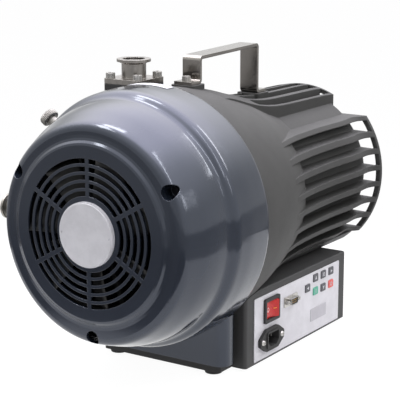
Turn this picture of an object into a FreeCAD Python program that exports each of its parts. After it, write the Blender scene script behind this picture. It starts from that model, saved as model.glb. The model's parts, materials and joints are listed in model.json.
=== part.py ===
import FreeCAD, Part
import math
import os

# Dry scroll vacuum pump, millimetres.
# Frame: z up from the floor, the shaft runs along y and the grille faces -y,
# the control panel is on the +x side. The origin is the middle of the
# hold-down pattern on the floor.

ZC = 185.4              # shaft height
ORBIT = 5.2             # orbit radius of the moving scroll
PITCH = 20.0            # scroll wrap pitch
WRAP = 4.5              # scroll wrap thickness

# metric screws: radius of the thread, of its hole and of a clearance hole
M6, M6_FREE = 3.0, 3.3
M5, M5_FREE = 2.5, 2.7
M4, M4_FREE = 2.0, 2.2
SLIP = 0.05             # running clearance on a radius
LOOSE = 0.1             # wider clearance on a radius
GASKET = 0.4            # thickness of the flat gaskets

DRUM_R = 128.0          # pump housing outside
CAVITY_R = 118.0        # scroll chamber
SEAT_Y = -208.0         # the fixed scroll seats on the housing here
WALL_Y = -150.0         # end of the scroll chamber
FLARE_Y = -129.0        # the pump housing meets the motor housing here
SCREW_RING = 123.0      # pitch radius of the fixed scroll's screws
AUX_RING = 84.0         # pitch radius of the three small cranks
AUX_FRONT_R = 7.0
AUX_REAR_R = 9.0
VENT_X, VENT_Z = -123.0, 178.0  # passage from the scrolls to the exhaust

MAIN_OUT, MAIN_RACE, MAIN_IN = 31.0, 20.0, 15.0  # main bearing
MAIN_Y0, MAIN_Y1 = -144.0, -130.0
REAR_OUT, REAR_RACE, REAR_IN = 26.0, 17.6, 12.5  # rear bearing
REAR_Y0, REAR_Y1 = 168.0, 183.0
SEAL_OUT = 26.0
SEAL_IN = 20.0
ORBIT_OUT, ORBIT_IN = 21.0, 10.0  # bearing between crank and moving scroll
ORBIT_Y0, ORBIT_Y1 = -165.0, -153.0
SHAFT_SEAT = 19.0       # rotor and counterweight sit on this radius
CORE_Y0, CORE_Y1 = -20.0, 100.0
STATOR_IN = 52.0
AIR_GAP = 0.8

INLET_X = -55.5         # the inlet stands beside the handle, behind the cowl
INLET_Y = -99.4
INLET_HALF = 25.5       # half width of the inlet plate and its block
INLET_BORE = 12.5
INLET_RING_FIT = 0.6    # the centring ring's recess is wider than the bore
INLET_SCREW = 19.5      # half spacing of the inlet screws
BLOCK_TOP = 325.9       # top of the cast block under the inlet gasket
PLATE_THICK = 6.0
NECK_R = 14.4           # inlet neck outside
FLANGE_R = 20.0
FLANGE_RISE = 22.0      # inlet flange, upper face over the plate
FLANGE_LIP = 3.2
DUCT_Z = 303.0          # the suction duct runs forward inside the wall
DUCT_R = 8.5
DUCT_WALL = 4.0
DUCT_END = -166.0

EXH_Y = -175.4
EXH_Z = 176.0           # exhaust port height
EXH_FACE = -188.0
EXH_SEAT = -150.0
EXH_BORE = 8.0
PORT_R = 10.0
PORT_PLATE = 7.6

BASE_W = 83.0           # base plate half width
BASE_L = 130.0          # base plate half length
BASE_Z0 = 4.0
BASE_Z1 = 12.5
HOLD_X = BASE_W - 15.0  # hold-down hole half spacings
HOLD_Y = BASE_L - 12.0
LEG_Y0, LEG_Y1 = -127.0, -105.0  # front leg of the motor housing

BODY_R = 98.0           # motor body outside, between fins
BORE_R = 90.0           # motor body inside
CAP_SEAT = 92.0         # the rear cap fits this bore
FIN_PITCH = 21.27
FIN_Y0 = 18.0           # where the deep gaps between side fins begin
FIN_Z0 = 108.1          # lowest side fin
SIDE_GAPS = 7
TOP_GAPS = 5
TOP_PITCH = 18.7
BODY_END = 196.0
RING_Y0 = 198.5
RING_Y1 = 203.0

PAD_HALF = 16.0         # half width of the handle pads
FRONT_PAD_Z = 325.0
REAR_PAD_Z = 298.0
HANDLE_FRONT_Y = -72.0  # handle screws
HANDLE_REAR_Y = 79.5
STRAP = 4.0             # handle strap thickness
STRAP_HALF = 12.2
GRIP_FRONT_Z = 353.6    # under side of the grip over each post
GRIP_REAR_Z = 356.6

FAN_FACE = -236.0       # the fan frame seats on the posts here
FAN_RING = 95.0         # pitch radius of its screws
FAN_BORE = 84.5
FAN_TIP = 82.5
FAN_BLADES = 7
AXLE_R = 3.0
COWL_RING = 117.0       # pitch radius of the cowl's screws

BOX_X0 = 49.0
BOX_X1 = 102.0
BOX_Y0 = -102.6
BOX_Y1 = 141.5
BOX_Z1 = 92.0
BOX_WALL = 2.0
PANEL_X = 103.0         # panel outer face
CUT_X, CUT_DEEP = 95.0, 15.0  # reach of the tools for the panel's holes
KEY_CENTRES = [
    (39.8, 67.2), (60.0, 75.9), (79.8, 75.7), (99.8, 75.5),
    (60.0, 58.9), (79.8, 58.8), (99.8, 58.7)]
KEY_W, KEY_H = 11.6, 9.6
KEY_FIT = 0.1           # gap round a key in the panel
KEY_BACK = 97.2
KEY_TRAVEL = 0.8
KEY_BOARD_FACE = KEY_BACK - 2 * KEY_TRAVEL
BALLAST_DIR = (-0.8, 0.0, 0.6)
BALLAST_Y = -160.0
STEM_R = 8.0
BALLAST_STEM = 5.0
SOCKET_YZ = (-49.5, 28.4)
SOCKET_SCREW = 21.5     # half spacing of the mains inlet's screws
SCREW_35 = 1.7          # radius of those screws
CORE_Y, CORE_Z = 13.6, 10.2  # half size of the mains inlet's body
ROCKER_YZ = (-48.0, 64.0)
WELL_Y, WELL_Z = 13.4, 10.9  # half size of the space round the rocker
SIGNAL_YZ = (-1.5, 62.8)
JACK = 12.5             # half spacing of the signal connector's posts
JACK_R = 1.55

X = FreeCAD.Vector(1, 0, 0)
Y = FreeCAD.Vector(0, 1, 0)
Z = FreeCAD.Vector(0, 0, 1)
V = FreeCAD.Vector
os.makedirs("parts", exist_ok=True)


def box(x0, x1, y0, y1, z0, z1):
    return Part.makeBox(x1 - x0, y1 - y0, z1 - z0, V(x0, y0, z0))


def cyl(r, p, d, length):
    return Part.makeCylinder(r, length, V(*p), d)


def rod(r, y0, y1, x=0.0, z=ZC):
    return Part.makeCylinder(r, y1 - y0, V(x, y0, z), Y)


def tube(ro, ri, y0, y1, x=0.0, z=ZC):
    return rod(ro, y0, y1, x, z).cut(rod(ri, y0 - 1, y1 + 1, x, z))


def fuse(shapes):
    first = shapes[0]
    if len(shapes) > 1:
        first = first.multiFuse(shapes[1:])
    return first.removeSplitter()


def cut(shape, tools):
    for t in tools:
        shape = shape.cut(t)
    return shape


def revolve(points):
    # points are (y, r) pairs of a closed outline, turned about the shaft
    wire = Part.makePolygon([V(r, y, 0) for y, r in points] + [V(points[0][1], points[0][0], 0)])
    solid = Part.Face(wire).revolve(V(0, 0, 0), Y, 360)
    solid.translate(V(0, 0, ZC))
    return solid


def revolve_curve(points, closing):
    # a smooth curve through points, closed with straight lines through closing
    curve = Part.BSplineCurve()
    curve.interpolate([V(r, y, 0) for y, r in points])
    edges = [curve.toShape()]
    chain = [points[-1]] + closing + [points[0]]
    for a, b in zip(chain, chain[1:]):
        edges.append(Part.makeLine(V(a[1], a[0], 0), V(b[1], b[0], 0)))
    solid = Part.Face(Part.Wire(edges)).revolve(V(0, 0, 0), Y, 360)
    solid.translate(V(0, 0, ZC))
    return solid


def polar(radius, degrees):
    a = math.radians(degrees)
    return radius * math.cos(a), ZC + radius * math.sin(a)


def rounded(shape, radius, test):
    edges = [e for e in shape.Edges if test(e)]
    return shape.makeFillet(radius, edges)


def along(e, axis):
    if not isinstance(e.Curve, Part.Line):
        return False
    return abs(abs(e.tangentAt(e.FirstParameter).dot(axis)) - 1) < 1e-6


def prism_x(points, x0, x1):
    # points are (y, z) pairs
    wire = Part.makePolygon([V(x0, y, z) for y, z in points] + [V(x0, points[0][0], points[0][1])])
    return Part.Face(wire).extrude(V(x1 - x0, 0, 0))


def slab_yz(cy, cz, wy, wz, x0, x1, radius):
    solid = box(x0, x1, cy - wy / 2, cy + wy / 2, cz - wz / 2, cz + wz / 2)
    return rounded(solid, radius, lambda e: along(e, X))


def save(name, shape):
    shape.exportStep("parts/" + name + ".step")


def save_group(name, shapes):
    Part.makeCompound(shapes).exportStep("parts/" + name + ".step")


# base plate and feet
plate = box(-BASE_W, BASE_W, -BASE_L, BASE_L, BASE_Z0, BASE_Z1)
plate = rounded(plate, 6.0, lambda e: along(e, Z))
corners = [(sx * HOLD_X, sy * HOLD_Y) for sx in (-1, 1) for sy in (-1, 1)]
for cx, cy in corners:
    plate = plate.cut(cyl(M6_FREE, (cx, cy, 0), Z, 20))
save("base_plate", plate)
feet = []
for cx, cy in corners:
    foot = Part.makeCone(10.0, 11.5, BASE_Z0, V(cx, cy, 0), Z)
    feet.append(foot.cut(cyl(M6_FREE, (cx, cy, -1), Z, 20)))
save_group("rubber_feet", feet)


# pump housing: drum with chamber, inlet boss, exhaust boss, bearing wall
drum = rod(DRUM_R, SEAT_Y, FLARE_Y)
duct_boss = rod(DUCT_R + DUCT_WALL, DUCT_END - DUCT_WALL, FLARE_Y, INLET_X, DUCT_Z)
exhaust_boss = cyl(19.0, (EXH_SEAT, EXH_Y, EXH_Z), X, 40.0)
ballast_axis = V(*BALLAST_DIR)


def ballast_point(radius):
    return (BALLAST_DIR[0] * radius, BALLAST_Y, ZC + BALLAST_DIR[2] * radius)


ballast_pad = cyl(13.0, ballast_point(110.0), ballast_axis, 24.0)
housing = fuse([drum, duct_boss, exhaust_boss, ballast_pad])
duct_inwards = V(-INLET_X, 0, ZC - DUCT_Z)
housing = cut(housing, [
    rod(CAVITY_R, SEAT_Y - 1, WALL_Y),
    rod(DUCT_R, DUCT_END, FLARE_Y + 1, INLET_X, DUCT_Z),
    cyl(DUCT_R - 1.5, (INLET_X, DUCT_END + 7.5, DUCT_Z), duct_inwards, 20.0),
    rod(MAIN_OUT, MAIN_Y0 - 1, FLARE_Y + 1),
    rod(SEAL_OUT, WALL_Y - 0.5, MAIN_Y0),
    cyl(EXH_BORE, (EXH_SEAT - 1, EXH_Y, EXH_Z), X, 29.5),
    rod(4.0, SEAT_Y - 1, -170.0, VENT_X, VENT_Z),
    cyl(4.0, ballast_point(100.0), ballast_axis, 40.0)])
SCREW_ANGLES = [20 + 40 * i for i in range(9)]
for angle in SCREW_ANGLES:
    px, pz = polar(SCREW_RING, angle)
    housing = housing.cut(rod(M5, SEAT_Y - 1, SEAT_Y + 16, px, pz))
AUX = [polar(AUX_RING, a) for a in (90, 210, 330)]
for ax, az in AUX:
    housing = housing.cut(rod(AUX_REAR_R + SLIP, WALL_Y - 1, FLARE_Y - 2, ax, az))
save("pump_housing", housing)


# motor housing: flare, body, fins, ring, handle pads, pedestals
flare_points = [
    (FLARE_Y, 143.0), (-112.0, 141.6), (-95.0, 139.6), (-78.0, 137.0), (-60.0, 133.4),
    (-42.0, 129.0), (-24.0, 124.2), (-8.0, 119.6), (10.0, 113.5), (30.0, 106.5),
    (50.0, 100.6), (68.0, 95.6)]
flare_ends = [(flare_points[-1][0], 0.0), (FLARE_Y, 0.0)]
flare = revolve_curve(flare_points, flare_ends)
body = rod(BODY_R, 20.0, BODY_END)
side_points = [
    (-60.0, 127.2), (-42.0, 126.4), (-28.0, 124.9), (-10.0, 121.8), (10.0, 118.4), (30.0, 116.2),
    (60.0, 114.4), (110.0, 113.7), (160.0, 114.2), (192.0, 116.4), (199.0, 120.4), (RING_Y1, 120.8)]
side = revolve_curve(side_points, [(RING_Y1, 0.0), (-60.0, 0.0)])
side_top = FIN_Z0 + SIDE_GAPS * FIN_PITCH + 1.6
side = side.common(box(-130, 130, -60.0, RING_Y1, FIN_Z0 - 3.0, side_top))
top_points = [
    (-70.0, 133.6), (-60.0, 134.0), (-42.0, 131.2), (-24.0, 126.6), (-8.0, 122.4), (10.0, 118.2),
    (30.0, 114.6), (60.0, 111.4), (110.0, 110.0), (160.0, 109.4), (192.0, 108.6), (RING_Y1, 107.8)]
top = revolve_curve(top_points, [(RING_Y1, 0.0), (-70.0, 0.0)])
top = top.common(box(-47.2, 47.2, -70.0, RING_Y1, ZC - 140, ZC + 140))
# the lowest part of the corner is fuller than the flare
belly_end = BODY_END + 2.0
belly = revolve([(0.0, 60.0), (0.0, 115.6), (belly_end, 115.6), (belly_end, 60.0)])
belly = belly.common(box(56.0, 95.0, 0.0, belly_end, BOX_Z1 + 1.0, FIN_Z0 - 3.0))
belly = fuse([belly, belly.mirror(V(0, 0, 0), X)])


def slot_tool(y0, y1, mid, in_w, out_w, h0, h1, place):
    # a slot along y with round ends, widening outwards from h0 to h1
    wires = []
    for h, w in ((h0, in_w), (h1, out_w)):
        r = w / 2.0
        ya = y0 + out_w / 2.0
        p1 = place(ya, mid + r, h)
        p2 = place(y1, mid + r, h)
        p3 = place(y1, mid - r, h)
        p4 = place(ya, mid - r, h)
        pm = place(ya - r, mid, h)
        wires.append(Part.Wire([
            Part.makeLine(p1, p2), Part.makeLine(p2, p3), Part.makeLine(p3, p4),
            Part.Arc(p4, pm, p1).toShape()]))
    return Part.makeLoft(wires, True, True)


deep_slots = []
for sign in (-1.0, 1.0):
    for i in range(SIDE_GAPS):
        zm = FIN_Z0 + FIN_PITCH * (i + 0.5)
        for start, floor in ((-70.0, flare), (FIN_Y0, rod(BODY_R, -80.0, BODY_END))):
            tool = slot_tool(
                start, RING_Y0, zm, 12.0, 15.4, 60.0, 130.0,
                lambda y, s, h, k=sign: V(k * h, y, s))
            tool = tool.cut(floor)
            if start < FIN_Y0:
                side = side.cut(tool)
            else:
                deep_slots.append(tool)
for sign in (-1.0, 1.0):
    for i in range(TOP_GAPS):
        xm = TOP_PITCH * (i - (TOP_GAPS - 1) / 2)
        tool = slot_tool(
            14.0, RING_Y0, xm, 12.6, 14.4, 80.0, 125.0,
            lambda y, s, h, k=sign: V(s, y, ZC + k * h))
        deep_slots.append(tool.cut(rod(BODY_R, -10.0, BODY_END)))
shell = cut(fuse([flare, body, side, top, belly]), deep_slots)
front_pad = box(
    -PAD_HALF, PAD_HALF, HANDLE_FRONT_Y - 10.5, HANDLE_FRONT_Y + 16.5, ZC + 100, FRONT_PAD_Z)
front_pad = rounded(front_pad, 4.0, lambda e: along(e, Z))
rear_pad = box(
    -PAD_HALF, PAD_HALF, HANDLE_REAR_Y - 16.5, HANDLE_REAR_Y + 11.5, ZC + 92, REAR_PAD_Z)
rear_pad = rounded(rear_pad, 4.0, lambda e: along(e, Z))
front_leg = box(-70.0, 70.0, LEG_Y0, LEG_Y1, BASE_Z1, 90.0)
rear_leg = box(-36.0, 36.0, 58.0, 102.0, BASE_Z1, 100.0)


def inlet_square(half, z0, z1):
    # a square block round the inlet's axis
    solid = box(INLET_X - half, INLET_X + half, INLET_Y - half, INLET_Y + half, z0, z1)
    return rounded(solid, 3.0, lambda e: along(e, Z))


def at_inlet(z):
    return (INLET_X, INLET_Y, z)


inlet_block = inlet_square(INLET_HALF, DUCT_Z - 10.0, BLOCK_TOP)
INLET_SCREWS = [
    (INLET_X + sx * INLET_SCREW, INLET_Y + sy * INLET_SCREW) for sx in (-1, 1) for sy in (-1, 1)]
shell = fuse([shell, inlet_block, front_pad, rear_pad, front_leg, rear_leg])
shell = cut(shell, [
    cyl(INLET_BORE - 0.8, at_inlet(DUCT_Z - 6.0), Z, 60.0),
    rod(DUCT_R, FLARE_Y - 2, INLET_Y, INLET_X, DUCT_Z)])
for px, py in INLET_SCREWS:
    shell = shell.cut(cyl(M6, (px, py, BLOCK_TOP - 12.0), Z, 20))
CAP_Y0 = 186.0          # shoulder behind the rear cap's rim
inner = revolve([
    (FLARE_Y - 2, 0.0), (FLARE_Y - 2, 118.0), (-110.0, 115.0), (-60.0, 97.0), (-48.0, BORE_R),
    (CAP_Y0, BORE_R), (CAP_Y0, CAP_SEAT), (RING_Y1 + 2, CAP_SEAT), (RING_Y1 + 2, 0.0)])
shell = shell.cut(inner)
# the ring is open inside: clear the space behind the body out to the rim
rim_clear = revolve([(BODY_END, 0.0), (BODY_END, 113.8), (RING_Y1 + 2, 114.6), (RING_Y1 + 2, 0.0)])
rim_clear = rim_clear.common(box(-130, 130, BODY_END, 210.0, FIN_Z0 + 2.5, 254.0))
top_clear = revolve([(BODY_END, 0.0), (BODY_END, 102.6), (RING_Y1 + 2, 102.6), (RING_Y1 + 2, 0.0)])
top_clear = top_clear.common(box(-42.6, 42.6, BODY_END, 210.0, ZC - 125, ZC + 125))
corner_clear = rod(93.5, BODY_END, 210.0)
shell = shell.cut(fuse([rim_clear, top_clear, corner_clear]))
HANDLE_FEET = ((HANDLE_FRONT_Y, FRONT_PAD_Z), (HANDLE_REAR_Y, REAR_PAD_Z))
for hy, hz in HANDLE_FEET:
    shell = shell.cut(cyl(M6, (0, hy, hz - 14.0), Z, 20))
for sx in (-55.0, 55.0):
    shell = shell.cut(cyl(M6_FREE, (sx, (LEG_Y0 + LEG_Y1) / 2, BASE_Z1 - 1), Z, 15))
save("motor_housing", shell)

CAP_END = 194.5
DIAGONALS = (45, 135, 225, 315)
cap = fuse([
    tube(CAP_SEAT - LOOSE, REAR_OUT + 2.0, CAP_Y0 + 2.0, CAP_END),
    tube(REAR_OUT + 8.0, REAR_OUT, REAR_Y0 - 2.0, CAP_Y0 + 3.0),
    tube(CAP_SEAT - LOOSE, 84.0, CAP_Y0, CAP_Y0 + 3.0)])
cap = cap.cut(rod(REAR_OUT, REAR_Y0 - 3.0, REAR_Y1))
cap_screws = []
for angle in DIAGONALS:
    px, pz = polar(CAP_SEAT - 4.6, angle)
    cap = cap.cut(rod(M5 + LOOSE, CAP_Y0 - 1, CAP_END + 1.5, px, pz))
    cap_screws.append(fuse([
        rod(4.2, CAP_END, CAP_END + 3.5, px, pz), rod(M5, CAP_Y0, CAP_END + 0.5, px, pz)]))
save("rear_cap", cap)
save_group("rear_cap_screws", cap_screws)


# scroll wraps
RB = PITCH / (2 * math.pi)
HALF = WRAP / (2 * RB)


def involute(t, phase):
    a = t + phase
    return V(
        RB * (math.cos(a) + t * math.sin(a)), 0,
        RB * (math.sin(a) - t * math.cos(a)))


def wrap(phase, t0, t1, y0, y1, dx):
    sides = []
    for shift in (-HALF, HALF):
        count = int((t1 - t0) / (2 * math.pi) * 14)
        pts = [involute(t0 + (t1 - t0) * i / count - shift, phase + shift) for i in range(count + 1)]
        curve = Part.BSplineCurve()
        curve.interpolate(pts)
        sides.append(curve)
    a, b = sides
    edges = [
        a.toShape(), Part.makeLine(a.EndPoint, b.EndPoint),
        b.toShape(), Part.makeLine(b.StartPoint, a.StartPoint)]
    face = Part.Face(Part.Wire(Part.__sortEdges__(edges)))
    solid = face.extrude(V(0, y1 - y0, 0))
    solid.translate(V(dx, y0, ZC))
    return solid


T0 = 5.2                # first and last turning angle of the wraps
T1 = 33.0
WRAP_END = -184.0       # tips of the fixed wrap
ORB_FACE = -183.0       # the moving scroll's plate
ORB_BACK = -173.0
FIXED_FRONT = SEAT_Y - 14.0
fixed_body = fuse([
    rod(DRUM_R, FIXED_FRONT, SEAT_Y), wrap(0.0, T0, T1, SEAT_Y - 0.5, WRAP_END, 0.0)])
fins = []
for i in range(-4, 5):
    fx = 22.0 * i
    half = math.sqrt(106.0 ** 2 - fx ** 2)
    fins.append(box(fx - 1.5, fx + 1.5, FAN_FACE, FIXED_FRONT + 0.5, ZC - half, ZC + half))
fan_posts = [polar(FAN_RING, a) for a in DIAGONALS]
for px, pz in fan_posts:
    fins.append(rod(6.0, FAN_FACE, FIXED_FRONT + 0.5, px, pz))
COWL_POSTS = [(px, pz - 1.2) for px, pz in (polar(COWL_RING, a) for a in (30, 150, 270))]
for px, pz in COWL_POSTS:
    fins.append(rod(7.0, FAN_FACE, FIXED_FRONT + 0.5, px, pz))
fixed_body = fuse([fixed_body] + fins)
PORT_Y = SEAT_Y - 7.0   # the discharge bore crosses the plate here
VENT_R = 3.5
fixed_body = fixed_body.cut(rod(5.0, PORT_Y - 1, SEAT_Y + 8))
run = V(VENT_X, 0, VENT_Z - ZC)
fixed_body = fixed_body.cut(Part.makeCylinder(VENT_R, run.Length, V(0, PORT_Y, ZC), run))
fixed_body = fixed_body.cut(rod(VENT_R, PORT_Y, SEAT_Y + 1, VENT_X, VENT_Z))
for px, pz in fan_posts:
    fixed_body = fixed_body.cut(rod(M4, FAN_FACE - 1, FAN_FACE + 12, px, pz))
for px, pz in COWL_POSTS:
    fixed_body = fixed_body.cut(rod(M5, FAN_FACE - 1, FAN_FACE + 12, px, pz))
screws = []
for angle in SCREW_ANGLES:
    px, pz = polar(SCREW_RING, angle)
    fixed_body = fixed_body.cut(rod(M5_FREE, FIXED_FRONT - 1, SEAT_Y + 1, px, pz))
    screws.append(fuse([
        rod(4.2, FIXED_FRONT - 4.5, FIXED_FRONT, px, pz), rod(M5, FIXED_FRONT - 1, SEAT_Y + 15, px, pz)]))
save("fixed_scroll", fixed_body)
save_group("scroll_screws", screws)

hub_end = WALL_Y - 1.0
orb = fuse([
    rod(CAVITY_R - 7.0, ORB_FACE, ORB_BACK, ORBIT),
    wrap(math.pi, T0, T1 - 1.0, SEAT_Y + 1.0, ORB_FACE + 0.5, ORBIT),
    rod(ORBIT_OUT + 9.0, ORB_BACK - 0.5, hub_end, ORBIT)])
for ax, az in AUX:
    orb = orb.fuse(rod(AUX_FRONT_R + 7.0, ORB_BACK - 0.5, WALL_Y - 7.0, ax + ORBIT, az))
orb = orb.removeSplitter()
orb = orb.cut(rod(ORBIT_OUT, ORBIT_Y0, WALL_Y, ORBIT))
for ax, az in AUX:
    orb = orb.cut(rod(AUX_FRONT_R + LOOSE, ORB_BACK + 2.0, WALL_Y - 6.0, ax + ORBIT, az))
save("orbiting_scroll", orb)
save("orbit_bearing", tube(ORBIT_OUT, ORBIT_IN, ORBIT_Y0, ORBIT_Y1, ORBIT))
web = WALL_Y - 0.4      # rear face of the small cranks' webs
for n, (ax, az) in enumerate(AUX, 1):
    crank = fuse([
        rod(AUX_FRONT_R, ORB_BACK + 3.0, WALL_Y - 4.0, ax + ORBIT, az),
        rod(AUX_REAR_R + 4.0, WALL_Y - 5.0, web, ax, az),
        rod(AUX_REAR_R, web - 0.2, FLARE_Y - 2.5, ax, az)])
    save("aux_crank_%d" % n, crank)


# crankshaft line
crank_end = WALL_Y - 0.6
shaft = fuse([
    rod(ORBIT_IN - SLIP, ORBIT_Y0 + 0.4, crank_end, ORBIT), rod(SEAL_IN, crank_end, MAIN_Y0 - 2.0),
    rod(MAIN_IN, MAIN_Y0 - 2.2, -118.0), rod(SHAFT_SEAT, -118.2, CORE_Y1 + 10),
    rod(MAIN_IN, CORE_Y1 + 9, 160.0), rod(REAR_IN, 159.0, REAR_Y1 + 7)])
save("crankshaft", shaft)
WEIGHT_Y0, WEIGHT_Y1 = -116.0, -98.0
weight = rod(62.0, WEIGHT_Y0, WEIGHT_Y1)
weight = weight.cut(box(-8.0, 80, WEIGHT_Y0 - 1, WEIGHT_Y1 + 1, ZC - 80, ZC + 80))
weight = weight.fuse(rod(30.0, WEIGHT_Y0, WEIGHT_Y1)).removeSplitter()
weight = weight.cut(rod(SHAFT_SEAT, WEIGHT_Y0 - 4, WEIGHT_Y1 + 8))
save("counterweight", weight)
save("rotor_core", tube(STATOR_IN - AIR_GAP, SHAFT_SEAT, CORE_Y0, CORE_Y1))


def outer_race(out_r, groove_r, race_r, y0, y1, ball_r):
    # the outer race with its balls, which run round the inner race
    middle = (y0 + y1) / 2
    balls = []
    for i in range(9):
        bx, bz = polar(race_r + SLIP + ball_r, 40 * i)
        balls.append(Part.makeSphere(ball_r, V(bx, middle, bz)))
    return fuse([tube(out_r, groove_r, y0, y1)] + balls)


save("main_bearing", outer_race(MAIN_OUT, 26.5, MAIN_RACE, MAIN_Y0, MAIN_Y1, 3.3))
save("rear_bearing", outer_race(REAR_OUT, 23.0, REAR_RACE, REAR_Y0, REAR_Y1, 3.05))
save("main_bearing_race", tube(MAIN_RACE, MAIN_IN, MAIN_Y0, MAIN_Y1))
save("rear_bearing_race", tube(REAR_RACE, REAR_IN, REAR_Y0, REAR_Y1))
save("shaft_seal", tube(SEAL_OUT, SEAL_IN + SLIP, WALL_Y + 0.2, MAIN_Y0 - 2.4))
SLOT_HALF = 4.0
SLOTS = 12
stator = tube(BORE_R, STATOR_IN, CORE_Y0, CORE_Y1)
for i in range(SLOTS):
    slot = box(-SLOT_HALF, SLOT_HALF, CORE_Y0 - 1, CORE_Y1 + 1, 56.0, 74.0)
    slot.rotate(V(0, 0, 0), Y, 30 * i)
    slot.translate(V(0, 0, ZC))
    stator = stator.cut(slot)
save("stator_core", stator)
coils = []
for i in range(SLOTS):
    coil = box(-SLOT_HALF + 0.4, SLOT_HALF - 0.4, CORE_Y0 - 10, CORE_Y1 + 10, 58.5, 73.0)
    coil.rotate(V(0, 0, 0), Y, 30 * i)
    coil.translate(V(0, 0, ZC))
    coils.append(coil)
coils.append(tube(76.0, 57.0, CORE_Y0 - 18, CORE_Y0 - 6))
coils.append(tube(76.0, 57.0, CORE_Y1 + 6, CORE_Y1 + 18))
save("stator_windings", fuse(coils))


# fan
FAN_FRONT = FAN_FACE - 16.0
ARM_Y = FAN_FACE - 5.0  # front of the struts that hold the fan's motor
HUB_R = 28.0
frame = fuse([
    tube(FAN_BORE + 8.5, FAN_BORE, FAN_FRONT, FAN_FACE), rod(22.0, FAN_FACE - 7.0, FAN_FACE),
    rod(AXLE_R, FAN_FACE - 20.0, FAN_FACE)])
struts = []
for angle in (20, 110, 200, 290):
    arm = box(20.0, FAN_BORE + 2.5, ARM_Y, FAN_FACE, -3.0, 3.0)
    arm.rotate(V(0, 0, 0), Y, -angle)
    arm.translate(V(0, 0, ZC))
    struts.append(arm)
ears = [rod(7.0, FAN_FACE - 4.0, FAN_FACE, px, pz) for px, pz in fan_posts]
frame = fuse([frame] + struts + ears)
frame = frame.cut(tube(FAN_BORE, 23.0, FAN_FRONT - 1, ARM_Y - SLIP))
fan_screws = []
for px, pz in fan_posts:
    frame = frame.cut(rod(M4_FREE, FAN_FRONT - 8, FAN_FACE, px, pz))
    frame = frame.cut(rod(4.4, FAN_FRONT - 4, FAN_FACE - 4.0, px, pz))
    fan_screws.append(fuse([
        rod(3.8, FAN_FACE - 7.0, FAN_FACE - 4.0, px, pz), rod(M4, ARM_Y, FAN_FACE + 10, px, pz)]))
save("fan_frame", frame)
save_group("fan_screws", fan_screws)
FAN_Y0, FAN_Y1 = -257.0, -244.0
hub = rod(HUB_R, FAN_Y0, FAN_Y1).cut(rod(AXLE_R + SLIP, FAN_Y0 + 0.6, FAN_Y1 + 4))
blades = []
for i in range(FAN_BLADES):
    blade = box(HUB_R - 2.0, FAN_TIP, -1.2, 1.2, -13.0, 13.0)
    blade.rotate(V(0, 0, 0), X, 62.0)
    blade.translate(V(0, (FAN_Y0 + FAN_Y1) / 2 + 0.3, 0))
    blade.rotate(V(0, 0, 0), Y, 360.0 / FAN_BLADES * i + 12)
    blade.translate(V(0, 0, ZC))
    blades.append(blade)
rotor = fuse([hub] + blades)
rotor = rotor.common(rod(FAN_TIP + 0.5, FAN_Y0, FAN_Y1 + 0.1))
save("fan_rotor", rotor)


# front cowl: a dished cap, a nose that sags a little below the shaft, and a band
CAP_Y = -262.5          # grille face
RIM_Y = -258.2          # flat ring round the grille
NOSE_END = -203.0
NOSE_LEAN = 0.051
NOSE_R = 138.0
COWL_END = -127.0
RIM_R = 108.0
RIM_BACK = -250.0
nose_points = [
    (RIM_Y, 114.6), (-257.5, 117.3), (-256.2, 119.8), (-254.3, 122.0), (-250.0, 124.5), (-245.0, 126.5),
    (-240.0, 128.4), (-235.0, 130.4), (-230.0, 132.3), (-224.0, 134.1), (-218.0, 135.6), (-212.0, 136.8),
    (-207.0, 137.5), (NOSE_END, NOSE_R)]


def nose(points):
    # turned about the shaft, then leaned down towards the front
    solid = revolve_curve(points, [(points[-1][0], 0.0), (points[0][0], 0.0)])
    lean = FreeCAD.Matrix()
    lean.A32 = NOSE_LEAN
    lean.A34 = -NOSE_LEAN * NOSE_END
    return solid.transformGeometry(lean)


def band(points, y_end):
    return revolve_curve(points, [(y_end, points[-1][1]), (y_end, 0.0), (points[0][0], 0.0)])


band_points = [
    (NOSE_END, NOSE_R), (-199.0, 138.7), (-195.5, 140.6), (-192.0, 143.6), (-188.0, 145.8), (-180.0, 147.0),
    (-168.0, 147.9), (-150.0, 148.0), (-136.0, 147.8), (-130.0, 147.2), (COWL_END - 0.2, 145.8)]
cap_points = [
    (CAP_Y, 0.0), (CAP_Y, 97.0), (-261.6, 99.4), (-259.4, 102.0), (-258.5, 104.6), (RIM_Y, RIM_R),
    (RIM_BACK, RIM_R), (RIM_BACK, 0.0)]
outer = fuse([revolve(cap_points), nose(nose_points), band(band_points, COWL_END)])
SKIN = 3.0
inner_nose = [(y + SKIN, r - SKIN) for y, r in nose_points[:4]]
inner_nose += [(y, r - SKIN - 0.4) for y, r in nose_points[5:]]
inner_cap = [(y + SKIN, r) for y, r in cap_points[:6]] + cap_points[6:]
hollow = fuse([
    revolve(inner_cap), nose(inner_nose), rod(NOSE_R - SKIN - 0.6, NOSE_END - 0.3, -190.0),
    band([(y + 0.8, r - SKIN) for y, r in band_points[:-2]], -120.0)])
SKIRT_HALF = 92.0
SKIRT_FRONT = -133.5
SKIRT_ROUND = 13.0
skirt = box(-SKIRT_HALF, SKIRT_HALF, SKIRT_FRONT, COWL_END + 13.0, BASE_Z1, ZC)
skirt = rounded(skirt, SKIRT_ROUND, lambda e: along(e, Z) and e.CenterOfMass.y < COWL_END - 3)
skirt = skirt.cut(box(-150, 150, COWL_END, -100.0, 72.0, 400.0))
skirt_in_half = SKIRT_HALF - SKIN
skirt_in = box(-skirt_in_half, skirt_in_half, SKIRT_FRONT + SKIN, -100.0, 0.0, ZC)
skirt_in = rounded(skirt_in, SKIRT_ROUND - SKIN, lambda e: along(e, Z) and e.CenterOfMass.y < COWL_END - 3)
cowl = fuse([outer, skirt])
cowl = cowl.cut(hollow.common(box(-200, 200, -300, COWL_END + 0.01, -10, 400)))
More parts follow.
